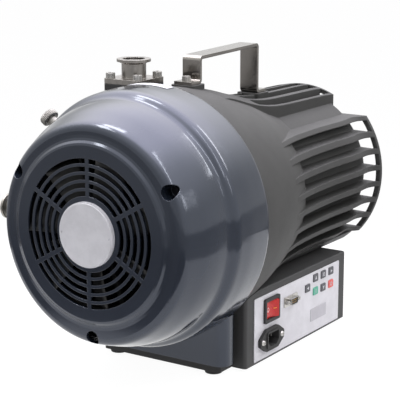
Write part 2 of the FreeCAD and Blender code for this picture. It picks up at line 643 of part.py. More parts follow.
cowl = cowl.cut(hollow.common(box(
    0.1 - skirt_in_half, skirt_in_half - 0.1, COWL_END - 0.5, COWL_END + 17.0, -10, ZC)))
cowl = cowl.cut(skirt_in)
# rows of grille slots, cut by six spokes
rows = [(77.6, 83.2), (68.7, 74.3), (59.8, 65.4), (50.9, 56.5), (42.0, 47.6)]
for r0, r1 in rows:
    slit = tube(r1, r0, CAP_Y - 1.5, CAP_Y + 5.0)
    for k in range(3):
        bar = box(-120, 120, CAP_Y - 3.5, CAP_Y + 7.5, -2.4, 2.4)
        bar.rotate(V(0, 0, 0), Y, 60 * k + 90)
        bar.translate(V(0, 0, ZC))
        slit = slit.cut(bar)
    cowl = cowl.cut(slit)
POCKET_R = 8.25
POCKET_END = FAN_FACE - 3.0
cups = []
pockets = []
cowl_screws = []
for px, pz in COWL_POSTS:
    cups.append(rod(POCKET_R + 2.75, CAP_Y + 2.5, FAN_FACE, px, pz).common(outer))
    pockets.append(rod(POCKET_R, CAP_Y - 1.5, POCKET_END, px, pz))
    pockets.append(rod(M5_FREE, CAP_Y, FAN_FACE + 1, px, pz))
    cowl_screws.append(fuse([
        rod(4.3, POCKET_END - 5.0, POCKET_END, px, pz), rod(M5, POCKET_END - 1, FAN_FACE + 10, px, pz)]))
cowl = fuse([cowl] + cups)
cowl = cut(cowl, pockets)
cowl = cowl.cut(cyl(20.5, (EXH_SEAT - 10, EXH_Y, EXH_Z), X, 40))
cowl = cowl.cut(cyl(STEM_R + 1.6, ballast_point(120.0), ballast_axis, 40.0))
save("front_cowl", cowl)
save_group("cowl_screws", cowl_screws)

BADGE_R = 36.2
BADGE_Y = CAP_Y - 4.9
badge = fuse([rod(BADGE_R, BADGE_Y + 1.0, CAP_Y), rod(BADGE_R - 1.0, BADGE_Y, BADGE_Y + 1.4)])
badge = rounded(badge, 0.8, lambda e: e.Length > 100 and abs(e.CenterOfMass.y - BADGE_Y) < 0.1)
for sx in (-1, 1):
    badge = badge.cut(rod(1.2, BADGE_Y - 0.6, BADGE_Y + 0.8, (BADGE_R - 4.2) * sx))
save("badge_disc", badge)
BAND_TOP = 147.9        # the band's radius under the label
label = tube(BAND_TOP + 0.6, BAND_TOP, -149.6, -136.0)
sides = [polar(200.0, a) for a in (80, 101)]
wedge = Part.makePolygon([V(0, 0, ZC)] + [V(px, 0, pz) for px, pz in sides] + [V(0, 0, ZC)])
wedge = Part.Face(wedge).extrude(V(0, 100, 0))
wedge.translate(V(0, -200, 0))
label = label.common(wedge)
label = label.cut(outer)
save("blank_label", label)


# inlet
def cap_screw(x, y, z, head_r, head_h, length):
    # a socket head screw that stands on the height z
    head = cyl(head_r, (x, y, z), Z, head_h)
    head = head.makeChamfer(0.6, [e for e in head.Edges if e.CenterOfMass.z > z + head_h - 0.1])
    corners_6 = [math.radians(60 * k) for k in range(7)]
    key_hole = Part.makePolygon([
        V(x + 2.9 * math.cos(a), y + 2.9 * math.sin(a), z + head_h / 2) for a in corners_6])
    key_hole = Part.Face(key_hole).extrude(V(0, 0, head_h))
    shank = cyl(M6, (x, y, z - length), Z, length + 1.0)
    return fuse([head, shank]).cut(key_hole)


PLATE_Z = BLOCK_TOP + GASKET
PLATE_TOP = PLATE_Z + PLATE_THICK
LIP_Z = PLATE_TOP + FLANGE_RISE - FLANGE_LIP
LIP_CONE = 2.3
flange = fuse([
    inlet_square(INLET_HALF, PLATE_Z, PLATE_TOP),
    cyl(NECK_R, at_inlet(PLATE_TOP - 1), Z, LIP_Z - PLATE_TOP),
    Part.makeCone(NECK_R, FLANGE_R - 1.6, LIP_CONE, V(*at_inlet(LIP_Z - LIP_CONE)), Z),
    cyl(FLANGE_R, at_inlet(LIP_Z), Z, FLANGE_LIP)])
flange = flange.cut(cyl(INLET_BORE, at_inlet(PLATE_Z - 10), Z, 60))
flange = flange.cut(cyl(INLET_BORE + INLET_RING_FIT, at_inlet(LIP_Z + FLANGE_LIP - 3.0), Z, 10))
inlet_screws = []
for px, py in INLET_SCREWS:
    flange = flange.cut(cyl(M6_FREE, (px, py, PLATE_Z - 10), Z, 40))
    inlet_screws.append(cap_screw(px, py, PLATE_TOP, 5.3, 6.4, PLATE_THICK + GASKET + 11.0))
save("inlet_flange", flange)
save_group("inlet_screws", inlet_screws)
gasket = inlet_square(INLET_HALF - 1.5, BLOCK_TOP, PLATE_Z)
gasket = gasket.cut(cyl(INLET_BORE + 0.3, at_inlet(BLOCK_TOP - 5), Z, 20))
for px, py in INLET_SCREWS:
    gasket = gasket.cut(cyl(M6_FREE + LOOSE, (px, py, BLOCK_TOP - 5), Z, 20))
save("inlet_gasket", gasket)


# exhaust
port_back = EXH_SEAT - GASKET
port = fuse([
    cyl(17.0, (port_back - PORT_PLATE, EXH_Y, EXH_Z), X, PORT_PLATE),
    cyl(PORT_R, (EXH_FACE + 2.0, EXH_Y, EXH_Z), X, port_back - 3.6 - EXH_FACE),
    Part.makeCone(13.6, PORT_R, 2.0, V(EXH_FACE + 3.0, EXH_Y, EXH_Z), X),
    cyl(15.0, (EXH_FACE, EXH_Y, EXH_Z), X, 3.0)])
port = port.cut(cyl(EXH_BORE, (EXH_FACE - 1, EXH_Y, EXH_Z), X, 60))
port = port.cut(cyl(EXH_BORE + INLET_RING_FIT, (EXH_FACE - 1, EXH_Y, EXH_Z), X, 4.0))
save("exhaust_port", port)
washer = cyl(16.0, (port_back, EXH_Y, EXH_Z), X, GASKET)
save("exhaust_gasket", washer.cut(cyl(EXH_BORE, (port_back - 1, EXH_Y, EXH_Z), X, 3)))


# gas ballast valve
stem = fuse([
    cyl(STEM_R, ballast_point(134.0), ballast_axis, 21.0),
    cyl(BALLAST_STEM, ballast_point(154.0), ballast_axis, 15.0)])
stem = stem.cut(cyl(2.5, ballast_point(130.0), ballast_axis, 45.0))
save("ballast_body", stem)
KNOB_R = 10.8
knob = fuse([
    cyl(KNOB_R - 2.4, ballast_point(155.4), ballast_axis, 8.0),
    cyl(KNOB_R, ballast_point(162.0), ballast_axis, 9.0)])
knob = knob.cut(cyl(BALLAST_STEM + SLIP, ballast_point(150.0), ballast_axis, 19.6))
third = ballast_axis.cross(Y)
for k in range(10):
    a = math.radians(36 * k)
    d = Y * math.cos(a) + third * math.sin(a)
    at = V(*ballast_point(161.0)) + d * (KNOB_R + 1.2)
    knob = knob.cut(Part.makeCylinder(2.2, 7.5, at, ballast_axis))
    if k % 2 == 0:
        at = V(*ballast_point(154.0)) + d * (KNOB_R - 1.6)
        knob = knob.cut(Part.makeCylinder(1.8, 7.0, at, ballast_axis))
save("ballast_knob", knob)


# handle
def corner_edges(shape, corners_yz):
    found = []
    for e in shape.Edges:
        if along(e, X):
            c = e.CenterOfMass
            for y, z in corners_yz:
                if abs(c.y - y) < 0.01 and abs(c.z - z) < 0.01:
                    found.append(e)
    return found


front_in, rear_in = HANDLE_FRONT_Y + 14.0, HANDLE_REAR_Y - 13.5
front_out, rear_out = front_in - STRAP, rear_in + STRAP
front_toe, rear_toe = HANDLE_FRONT_Y - 7.8, HANDLE_REAR_Y + 8.0
under = [
    (front_toe, FRONT_PAD_Z), (front_in, FRONT_PAD_Z), (front_in, GRIP_FRONT_Z),
    (rear_in, GRIP_REAR_Z), (rear_in, REAR_PAD_Z), (rear_toe, REAR_PAD_Z)]
over = [
    (rear_toe, REAR_PAD_Z + STRAP), (rear_out, REAR_PAD_Z + STRAP), (rear_out, GRIP_REAR_Z + STRAP),
    (front_out, GRIP_FRONT_Z + STRAP), (front_out, FRONT_PAD_Z + STRAP), (front_toe, FRONT_PAD_Z + STRAP)]
handle = prism_x(under + over, -STRAP_HALF, STRAP_HALF)
handle = handle.makeFillet(STRAP + 1.5, corner_edges(handle, [over[3], over[2], under[1], under[4]]))
handle = handle.makeFillet(2.0, corner_edges(handle, [under[2], under[3], over[4], over[1]]))
handle_screws = []
for hy, hz in HANDLE_FEET:
    handle = handle.cut(cyl(M6_FREE, (0, hy, hz - 6), Z, 20))
    handle_screws.append(cap_screw(0, hy, hz + STRAP, 5.0, 6.0, STRAP + 13.0))
save("handle_strap", handle)
save_group("handle_screws", handle_screws)


# control box
shell_out = fuse([
    box(BOX_X0, BOX_X1, BOX_Y0, BOX_Y1, BASE_Z1, BOX_Z1),
    box(BASE_W + 0.5, BOX_X1, BOX_Y0, BOX_Y1, BASE_Z0, BASE_Z1 + 5)])
shell_out = rounded(shell_out, 4.0, lambda e: along(e, Z) and e.CenterOfMass.x > 101)
shell_out = rounded(
    shell_out, 2.5, lambda e: e.CenterOfMass.z > BOX_Z1 - 0.1 and e.CenterOfMass.x > 100.5)
shell_in = fuse([
    box(BOX_X0 + BOX_WALL, BOX_X1 - BOX_WALL, BOX_Y0 + BOX_WALL, BOX_Y1 - BOX_WALL,
        BASE_Z1 + BOX_WALL, BOX_Z1 - BOX_WALL),
    box(BASE_W + 0.5 + BOX_WALL, BOX_X1 - BOX_WALL, BOX_Y0 + BOX_WALL, BOX_Y1 - BOX_WALL,
        BASE_Z0 + BOX_WALL, BASE_Z1 + 5)])
enclosure = shell_out.cut(shell_in)
flare_room = revolve_curve([(y, r + 0.6) for y, r in flare_points], flare_ends)
enclosure = enclosure.cut(flare_room)
panel = box(BOX_X1, PANEL_X, -85.0, 122.3, 6.9, 84.0)
panel = rounded(panel, 1.5, lambda e: along(e, X))
sy, sz = SOCKET_YZ
ry, rz = ROCKER_YZ
gy, gz = SIGNAL_YZ


def panel_hole(centre, half_y, half_z):
    # a tool for a rectangular hole in the panel and the wall behind it
    cy, cz = centre
    return box(CUT_X, CUT_X + CUT_DEEP, cy - half_y, cy + half_y, cz - half_z, cz + half_z)


holes = [
    panel_hole(SOCKET_YZ, CORE_Y + 0.4, CORE_Z + 0.3),
    panel_hole(ROCKER_YZ, WELL_Y + 0.6, WELL_Z + 0.6), panel_hole(SIGNAL_YZ, 9.4, 5.2)]
for side_y in (-SOCKET_SCREW, SOCKET_SCREW):
    holes.append(cyl(SCREW_35 + SLIP, (CUT_X, sy + side_y, sz), X, CUT_DEEP))
for side_y in (-JACK, JACK):
    holes.append(cyl(JACK_R + 0.15, (CUT_X, gy + side_y, gz), X, CUT_DEEP))
for centre in KEY_CENTRES:
    holes.append(panel_hole(centre, KEY_W / 2 + KEY_FIT, KEY_H / 2 + KEY_FIT))
enclosure = cut(enclosure, holes)
panel = cut(panel, holes)
save("control_box", enclosure)
save("control_panel", panel)

# rocker switch: bezel with side walls and a pivoting rocker
bezel = slab_yz(ry, rz, 34.0, 29.6, PANEL_X, PANEL_X + 3.0, 2.0)
WELL_WALL = 0.5
WELL_X = 82.0
room = box(WELL_X, PANEL_X + 7.0, ry - WELL_Y, ry + WELL_Y, rz - WELL_Z, rz + WELL_Z)
well = box(
    WELL_X - 2.0, PANEL_X + 0.5, ry - WELL_Y - WELL_WALL, ry + WELL_Y + WELL_WALL,
    rz - WELL_Z - WELL_WALL, rz + WELL_Z + WELL_WALL)
PIVOT_X = PANEL_X - 4.0
PIVOT_R = 2.0
PIVOT_LONG = 1.5
pivot = fuse([
    cyl(PIVOT_R, (PIVOT_X, ry, rz - WELL_Z - 0.1), Z, PIVOT_LONG),
    cyl(PIVOT_R, (PIVOT_X, ry, rz + WELL_Z + 0.1 - PIVOT_LONG), Z, PIVOT_LONG)])
bezel = fuse([fuse([bezel, well]).cut(room), pivot])
save("switch_bezel", bezel)
# drawn level, then turned to the rest position with the o end pressed
ROCK = 10.0
HALF_ROCKER = 12.0
tip_a, tip_b = V(PANEL_X + 3.4, -HALF_ROCKER, 0), V(PANEL_X + 3.4, HALF_ROCKER, 0)
outline = [
    tip_b, V(98.5, 11.4, 0), V(93.5, 4.0, 0), V(93.5, -4.0, 0), V(98.5, -11.4, 0), tip_a]
edges = [Part.makeLine(a, b) for a, b in zip(outline, outline[1:])]
edges.append(Part.Arc(tip_a, V(PANEL_X + 0.8, 0, 0), tip_b).toShape())
rocker_z = WELL_Z - 0.3
rocker = Part.Face(Part.Wire(edges)).extrude(V(0, 0, 2 * rocker_z))
rocker.translate(V(0, ry, rz - rocker_z))
for z in (rz - 12.0, rz + 9.0):
    rocker = rocker.cut(cyl(PIVOT_R + 0.08, (PIVOT_X, ry, z), Z, 3.0))
rocker.rotate(V(PIVOT_X, ry, rz), Z, -ROCK)
save("rocker", rocker)

# mains inlet socket
ears = [
    (sy - 27.0, sz - 4.5), (sy - 27.0, sz + 4.5), (sy - 13.5, sz + 13.5), (sy + 13.5, sz + 13.5),
    (sy + 27.0, sz + 4.5), (sy + 27.0, sz - 4.5), (sy + 13.5, sz - 13.5), (sy - 13.5, sz - 13.5)]
inlet_plate = prism_x(ears, PANEL_X, PANEL_X + 4.0)
inlet_plate = rounded(inlet_plate, 3.5, lambda e: along(e, X))
core = box(82.0, PANEL_X + 1.0, sy - CORE_Y, sy + CORE_Y, sz - CORE_Z, sz + CORE_Z)
collar = box(PANEL_X + 2.0, PANEL_X + 5.4, sy - CORE_Y - 0.2, sy + CORE_Y + 0.2, sz - CORE_Z, sz + CORE_Z)
collar = rounded(collar, 3.0, lambda e: along(e, X))
recess = prism_x([
    (sy - 12.0, sz + 8.2), (sy + 12.0, sz + 8.2), (sy + 12.0, sz - 3.0), (sy + 6.8, sz - 8.2),
    (sy - 6.8, sz - 8.2), (sy - 12.0, sz - 3.0)], 88.5, 115.0)
power = fuse([inlet_plate, core, collar]).cut(recess)
pins = []
for py, pz in ((-7.0, 2.0), (0.0, -2.0), (7.0, 2.0)):
    pins.append(box(84.0, 101.0, sy + py - 1.0, sy + py + 1.0, sz + pz - 2.0, sz + pz + 2.0))
    power = power.cut(box(80.0, 95.0, sy + py - 1.0, sy + py + 1.0, sz + pz - 2.0, sz + pz + 2.0))
power_screws = []
for side_y in (-SOCKET_SCREW, SOCKET_SCREW):
    power = power.cut(cyl(SCREW_35 + SLIP, (CUT_X, sy + side_y, sz), X, CUT_DEEP))
    head = fuse([
        Part.makeCone(3.4, 2.6, 1.8, V(PANEL_X + 4.0, sy + side_y, sz), X),
        cyl(SCREW_35, (PANEL_X - 5.0, sy + side_y, sz), X, 9.5)])
    cross = fuse([
        box(PANEL_X + 5.0, 112, sy + side_y - 0.5, sy + side_y + 0.5, sz - 2.0, sz + 2.0),
        box(PANEL_X + 5.0, 112, sy + side_y - 2.0, sy + side_y + 2.0, sz - 0.5, sz + 0.5)])
    power_screws.append(head.cut(cross))
save("power_socket", power)
save_group("socket_pins", pins)
save_group("socket_screws", power_screws)

# signal connector
lip = slab_yz(gy, gz, 32.0, 12.8, PANEL_X, PANEL_X + 1.0, 1.5)
hood = [
    (gy - 8.6, gz + 4.2), (gy + 8.6, gz + 4.2), (gy + 7.2, gz - 4.2), (gy - 7.2, gz - 4.2)]
shroud = prism_x(hood, 99.0, PANEL_X + 6.4)
shroud = rounded(shroud, 1.6, lambda e: along(e, X))
inside = [
    (gy - 8.0, gz + 3.7), (gy + 8.0, gz + 3.7), (gy + 6.7, gz - 3.7), (gy - 6.7, gz - 3.7)]
cavity = prism_x(inside, 90.0, 120.0)
cavity = rounded(cavity, 1.2, lambda e: along(e, X))
signal = fuse([lip, shroud]).cut(cavity)
jacks = []
for side_y in (-JACK, JACK):
    signal = signal.cut(cyl(JACK_R + SLIP, (CUT_X, gy + side_y, gz), X, CUT_DEEP))
    hexagon = Part.makePolygon([
        V(PANEL_X + 1.0, gy + side_y + 2.7 * math.cos(math.radians(60 * k)),
          gz + 2.7 * math.sin(math.radians(60 * k))) for k in range(7)])
    nut = Part.Face(hexagon).extrude(V(4.6, 0, 0))
    jacks.append(fuse([nut, cyl(JACK_R, (PANEL_X - 5.0, gy + side_y, gz), X, 6.0)]).cut(
        cyl(1.1, (PANEL_X + 2.5, gy + side_y, gz), X, 10)))
save("signal_shell", signal)
insert = prism_x(inside, 97.0, PANEL_X + 5.6)
insert = rounded(insert, 1.2, lambda e: along(e, X))
for k in range(9):
    row = 0 if k < 5 else 1
    py = gy + (-5.4 + 2.7 * k if row == 0 else -4.05 + 2.7 * (k - 5))
    pz = gz + (1.4 if row == 0 else -1.4)
    insert = insert.cut(cyl(0.6, (PANEL_X, py, pz), X, 20))
save("signal_insert", insert)
save_group("signal_jacks", jacks)
save("name_plate", slab_yz(68.7, 29.4, 39.6, 16.0, PANEL_X, PANEL_X + 0.5, 1.0))

for n, (ky, kz) in enumerate(KEY_CENTRES, 1):
    key = slab_yz(ky, kz, KEY_W, KEY_H, KEY_BACK + 2.1, PANEL_X + 1.4, 1.0)
    foot = slab_yz(ky, kz, KEY_W + 1.6, KEY_H + 1.6, KEY_BACK, KEY_BACK + 2.5, 0.5)
    save("key_%d" % n, fuse([key, foot]))

# driver board inside the box
BOARD_X = 60.0
BOARD_THICK = 1.6
board = box(BOARD_X, BOARD_X + BOARD_THICK, -80.0, 120.0, 20.0, 56.0)
stands = []
for py in (-72.0, 20.0, 112.0):
    for pz in (25.0, 51.0):
        stands.append(cyl(3.0, (BOX_X0 + BOX_WALL, py, pz), X, BOARD_X - BOX_X0 - BOX_WALL))
save("driver_board", fuse([board] + stands))
front = BOARD_X + BOARD_THICK
mounted = [cyl(9.0, (front, -60.0 + 22.0 * k, 40.0), X, 16.0) for k in range(3)]
mounted.append(box(front, front + 18.4, 30.0, 70.0, 26.0, 48.0))
mounted.append(box(front, front + 10.4, 85.0, 112.0, 28.0, 46.0))
save_group("board_parts", mounted)
key_board = box(KEY_BOARD_FACE - BOARD_THICK, KEY_BOARD_FACE, 30.0, 112.0, 50.0, 84.0)
post_long = BOX_X1 - BOX_WALL - KEY_BOARD_FACE
posts = [
    cyl(2.0, (KEY_BOARD_FACE, py, pz), X, post_long)
    for py, pz in ((33.0, 82.0), (109.0, 82.0), (71.0, 67.0), (33.0, 53.0))]
save("key_board", fuse([key_board] + posts))
print("saved", len(os.listdir("parts")))
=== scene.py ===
"""Dry scroll vacuum pump: finishes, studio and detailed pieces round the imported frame.

Lengths in the classes are millimetres, as on the drawing of the pump. They become metres
where a mesh is made. x points to the control panel, y to the back and z up.
"""

import json
import logging
import math
from dataclasses import dataclass
from enum import Enum

import bmesh
import bpy
from mathutils import Matrix, Vector

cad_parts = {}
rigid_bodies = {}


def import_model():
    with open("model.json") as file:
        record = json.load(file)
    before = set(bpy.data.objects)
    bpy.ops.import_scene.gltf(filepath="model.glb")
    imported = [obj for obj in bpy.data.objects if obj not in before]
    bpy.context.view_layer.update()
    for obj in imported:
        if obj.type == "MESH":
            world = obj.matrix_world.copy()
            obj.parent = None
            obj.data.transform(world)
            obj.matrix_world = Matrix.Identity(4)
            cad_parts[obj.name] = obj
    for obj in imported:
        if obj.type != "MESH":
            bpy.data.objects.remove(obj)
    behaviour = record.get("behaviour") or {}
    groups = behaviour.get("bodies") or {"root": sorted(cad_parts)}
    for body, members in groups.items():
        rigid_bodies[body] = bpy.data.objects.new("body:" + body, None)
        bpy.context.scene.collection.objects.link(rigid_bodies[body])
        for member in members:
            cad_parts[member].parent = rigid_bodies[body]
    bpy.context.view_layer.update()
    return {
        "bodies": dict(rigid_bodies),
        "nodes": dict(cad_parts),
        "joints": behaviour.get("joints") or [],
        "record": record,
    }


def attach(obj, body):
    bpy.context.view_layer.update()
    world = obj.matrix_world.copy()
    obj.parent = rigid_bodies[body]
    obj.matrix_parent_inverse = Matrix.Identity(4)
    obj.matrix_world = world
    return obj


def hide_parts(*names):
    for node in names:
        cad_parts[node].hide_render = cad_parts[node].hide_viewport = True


log = logging.getLogger("scroll_pump")

Point = tuple[float, float, float]
Pair = tuple[float, float]
Colour = tuple[float, float, float, float]

MM = 0.001
FULL_TURN = 2.0 * math.pi
WHITE: Colour = (1.0, 1.0, 1.0, 1.0)
SHAFT_HEIGHT = 185.4
INLET_XY = (-55.5, -99.4)
INLET_TOP = 332.3
INLET_SCREW_REACH = 19.5
HANDLE_SEATS = ((0.0, -72.0, 329.0), (0.0, 79.5, 302.0))
EXHAUST_YZ = (-175.4, 176.0)
PANEL_FACE = 103.0
SWITCH_YZ = (-48.0, 64.0)


def srgb(red: float, green: float, blue: float) -> Colour:
    """Turns a colour of 0 to 255 a channel into the linear one that shaders take.

    Args:
        red, green, blue: the channels, from 0 to 255.

    Returns:
        The linear colour with an alpha of 1.
    """
    def linear(channel: float) -> float:
        """One channel of the colour."""
        part = channel / 255.0
        return part / 12.92 if part <= 0.04045 else ((part + 0.055) / 1.055) ** 2.4
    return linear(red), linear(green), linear(blue), 1.0


def direction(azimuth: float, height: float) -> Vector:
    """A unit vector by degrees from the front towards the panel side, and over the level."""
    turn, rise = math.radians(azimuth), math.radians(height)
    return Vector((
        math.sin(turn) * math.cos(rise), -math.cos(turn) * math.cos(rise), math.sin(rise)))


def add_object(name: str, data: bpy.types.ID) -> bpy.types.Object:
    """Makes an object and links it to the scene.

    Args:
        name: its name.
        data: its mesh, lamp or camera.

    Returns:
        The object.
    """
    made = bpy.data.objects.new(name, data)
    bpy.context.scene.collection.objects.link(made)
    return made


class Axis(Enum):
    """A direction of the frame."""

    X = 0
    Y = 1
    Z = 2

    def picked(self, here: float, elsewhere: float) -> Point:
        """A vector with one number along this axis and another along the other two."""
        return tuple(here if n == self.value else elsewhere for n in range(3))


class Wire:
    """The output of a node, which takes part in Python expressions."""

    def __init__(self, tree: "Tree", socket: bpy.types.NodeSocket | None) -> None:
        """Keeps the socket and the tree that it belongs to."""
        self.tree = tree
        self.socket = socket

    def _maths(self, operation: str, *operands: "Wire | float") -> "Wire":
        """Adds one Math node on these operands."""
        return self.tree.node("ShaderNodeMath", {"operation": operation}, dict(enumerate(operands)))

    def __add__(self, other: "Wire | float") -> "Wire":
        """Sum."""
        return self._maths("ADD", self, other)

    __radd__ = __add__

    def __sub__(self, other: "Wire | float") -> "Wire":
        """Difference."""
        return self._maths("SUBTRACT", self, other)

    def __rsub__(self, other: float) -> "Wire":
        """Difference from a number."""
        return self._maths("SUBTRACT", other, self)

    def __mul__(self, other: "Wire | float") -> "Wire":
        """Product."""
        return self._maths("MULTIPLY", self, other)

    __rmul__ = __mul__

    def __truediv__(self, other: "Wire | float") -> "Wire":
        """Quotient."""
        return self._maths("DIVIDE", self, other)

    def __pow__(self, other: float) -> "Wire":
        """Power."""
        return self._maths("POWER", self, other)

    def sine(self) -> "Wire":
        """Sine of an angle."""
        return self._maths("SINE", self)

    def rise(self, low: float, high: float, start: float = 0.0, end: float = 1.0) -> "Wire":
        """Goes smoothly from start, where the value is low, to end, where it is high."""
        return self.tree.node(
            "ShaderNodeMapRange", {"interpolation_type": "SMOOTHSTEP"},
            {"Value": self, "From Min": low, "From Max": high, "To Min": start, "To Max": end})


class Tree:
    """Writes nodes into one node tree."""

    def __init__(self, tree: bpy.types.NodeTree) -> None:
        """Takes the tree over and empties it."""
        self.tree = tree
        tree.nodes.clear()

    @classmethod
    def within(cls, owner: bpy.types.Material | bpy.types.World) -> "Tree":
        """The emptied tree of a material or a world."""
        owner.use_nodes = True
        return cls(owner.node_tree)

    def node(self, kind: str, settings: dict | None = None, sockets: dict | None = None,
             out: int | str = 0) -> Wire:
        """Adds a node, sets it up and feeds its sockets.

        Args:
            kind: the node's type.
            settings: its properties.
            sockets: values or wires by socket name or number.
            out: the output to give back.

        Returns:
            That output.
        """
        made = self.tree.nodes.new(kind)
        for key, value in (settings or {}).items():
            setattr(made, key, value)
        for key, value in (sockets or {}).items():
            if isinstance(value, Wire):
                self.tree.links.new(value.socket, made.inputs[key])
            else:
                made.inputs[key].default_value = value
        return Wire(self, made.outputs[out] if made.outputs else None)

    def vector(self, operation: str, *operands: Wire | Point, out: int = 0) -> Wire:
        """Adds one Vector Math node on these operands. Output 1 is a number."""
        sockets = dict(enumerate(operands))
        return self.node("ShaderNodeVectorMath", {"operation": operation}, sockets, out)

    def combined(self, **parts: Wire | float) -> Wire:
        """The vector of these parts, X, Y or Z."""
        return self.node("ShaderNodeCombineXYZ", None, parts)

    def part(self, vector: Wire, axis: Axis) -> Wire:
        """A vector's number along an axis."""
        return self.node("ShaderNodeSeparateXYZ", None, {0: vector}, out=axis.value)

    def ray(self, kind: str) -> Wire:
        """1 for rays of this kind and 0 for the others."""
        return self.node("ShaderNodeLightPath", out="Is %s Ray" % kind)

    def place(self) -> Wire:
        """The point on the piece, in the object's own metres."""
        return self.node("ShaderNodeTexCoord", out="Object")

    def scaled(self, vector: Wire, scale: Point, shift: Point = (0.0, 0.0, 0.0)) -> Wire:
        """Shifts a vector and then scales it along the axes."""
        return self.vector("MULTIPLY", self.vector("ADD", vector, shift), scale)

    def noise(self, vector: Wire, scale: float, detail: float = 2.0, rough: float = 0.5) -> Wire:
        """Soft noise around 0.5 with scale features in a metre, and finer layers on them."""
        return self.node("ShaderNodeTexNoise", None, {
            "Vector": vector, "Scale": scale, "Detail": detail, "Roughness": rough})

    def waves(self, distance: Wire, pitch: float) -> Wire:
        """Even waves from 0 to 1 over a distance, with a pitch in millimetres."""
        return (distance * (FULL_TURN / (pitch * MM))).sine() * 0.5 + 0.5

    def mix(self, factor: Wire | float, first: Wire | Colour, second: Wire | Colour) -> Wire:
        """Mixes two colours, where a factor of 0 gives the first."""
        return self.node(
            "ShaderNodeMix", {"data_type": "RGBA"}, {0: factor, 6: first, 7: second}, out=2)

    def bump(self, height: Wire, distance: float, strength: float = 1.0,
             normal: Wire | None = None) -> Wire:
        """Turns a height of 0 to 1, over a distance in metres, into a bend of the normal."""
        base = {} if normal is None else {"Normal": normal}
        return self.node("ShaderNodeBump", None, {
            "Height": height, "Distance": distance, "Strength": strength, **base})

    def softened(self, radius: float) -> Wire:
        """The normal of the piece with its edges rounded to a radius in metres."""
        return self.node("ShaderNodeBevel", {"samples": 6}, {"Radius": radius})

    def edges(self, soft: Wire, gain: float) -> Wire:
        """0 on a plain surface and up to 1 at an edge, where the softened normal departs."""
        plain = self.node("ShaderNodeNewGeometry", out="Normal")
        return ((1.0 - self.vector("DOT_PRODUCT", soft, plain, out=1)) * gain).rise(0.0, 1.0)

    def radial(self, vector: Wire, centre: Point, axis: Axis) -> Wire:
        """How far a place is from the line along an axis through a centre, in metres."""
        flat = self.scaled(vector, axis.picked(0.0, 1.0), tuple(-c for c in centre))
        return self.vector("LENGTH", flat, out=1)

    def shader(self, **sockets: Wire | float | tuple) -> None:
        """Ends a material tree in a Principled shader, with underscores for spaces."""
        named = {key.replace("_", " "): value for key, value in sockets.items()}
        made = self.node("ShaderNodeBsdfPrincipled", None, named)
        self.node("ShaderNodeOutputMaterial", None, {"Surface": made})


@dataclass(frozen=True)
class Finish:
    """What a surface of the pump is made of or painted with."""

    name: str
    colour: Point
    roughness: float
    softening: float = 0.0005

    def material(self) -> bpy.types.Material:
        """Makes the material, once.

        Returns:
            The material.
        """
        made = bpy.data.materials.get(self.name)
        if made is None:
            made = bpy.data.materials.new(self.name)
            self.write(Tree.within(made))
        return made

    def write(self, tree: Tree) -> None:
        """Writes the nodes of the finish."""
        raise NotImplementedError

    def tone(self, gain: float) -> Colour:
        """The colour made lighter or darker by a factor."""
        return tuple(min(1.0, part * gain) for part in srgb(*self.colour)[:3]) + (1.0,)

    def shaded(self, tree: Tree, mask: Wire, dark: float, light: float) -> Wire:
        """The colour, from one factor on it where a mask is 0 to another where it is 1."""
        return tree.mix(mask, self.tone(dark), self.tone(light))

    def begin(self, tree: Tree, gain: float = 5.0) -> tuple[Wire, Wire, Wire]:
        """The place, the softened normal and the nearness to an edge, which rises by a gain."""
        soft = tree.softened(self.softening)
        return tree.place(), soft, tree.edges(soft, gain)


@dataclass(frozen=True)
class GlossPaint(Finish):
    """Glossy enamel on sheet metal or on a smooth casting."""

    peel: float = 0.000009
    # How strongly the edges are lightened as a painted highlight.
    edge_highlight: float = 0.15
    dust_colour: Point = (150.0, 150.0, 152.0)
    dust_share: float = 0.25
    gloss_index: float = 1.6
    gloss_tint: Colour = (0.82, 0.87, 1.0, 1.0)

    def write(self, tree: Tree) -> None:
        """Enamel with a faint orange peel, fine dust and a painted highlight on the edges.

        Args:
            tree: the material's tree.
        """
        at, soft, edge = self.begin(tree)
        speck = tree.noise(at, 1500.0, 2.0, 0.7).rise(0.66, 0.8)
        dust = tree.noise(at, 60.0, 6.0, 0.65).rise(0.45, 0.8)
        body = self.shaded(tree, tree.noise(at, 9.0, 3.0), 0.92, 1.08)
        # Painted highlight: the colour is lightened on edges, where the softened normal departs.
        body = tree.mix(edge * self.edge_highlight, body, self.tone(1.4))
        body = tree.mix(speck * dust * self.dust_share, body, srgb(*self.dust_colour))
        peel = tree.noise(at, 240.0, 2.0, 0.4) + 0.25 * tree.noise(at, 900.0, 1.0)
        tree.shader(
            Base_Color=body, Roughness=self.roughness + 0.06 * dust, IOR=self.gloss_index,
            Specular_Tint=self.gloss_tint, Normal=tree.bump(peel, self.peel, 1.0, soft))


@dataclass(frozen=True)
class CastPaint(Finish):
    """Matt paint on a sand casting or on folded sheet."""

    grain: float = 0.00012
    grain_scale: float = 1100.0
    # How strongly the edges are lightened as a painted highlight.
    edge_highlight: float = 0.55
    gloss_index: float = 1.38

    def write(self, tree: Tree) -> None:
        """Matt paint with a fine granular surface, uneven, with a painted highlight on the edges.

        Args:
            tree: the material's tree.
        """
        at, soft, edge = self.begin(tree, 4.0)
        cloud = tree.noise(at, 14.0, 5.0, 0.6)
        fine = tree.noise(at, self.grain_scale, 3.0, 0.6)
        pits = tree.node(
            "ShaderNodeTexVoronoi", None, {"Vector": at, "Scale": self.grain_scale * 0.5})
        body = self.shaded(tree, cloud.rise(0.3, 0.7), 0.9, 1.1)
        body = tree.mix(fine.rise(0.35, 0.75) * 0.35, body, self.tone(1.35))
        # Painted highlight: the colour is made paler on edges, where the softened normal departs.
        body = tree.mix(edge * self.edge_highlight, body, self.tone(1.75))
        tree.shader(
            Base_Color=body, Roughness=self.roughness - 0.1 * cloud + 0.08 * fine,
            IOR=self.gloss_index, Normal=tree.bump(0.7 * fine + 0.3 * pits, self.grain, 0.8, soft))


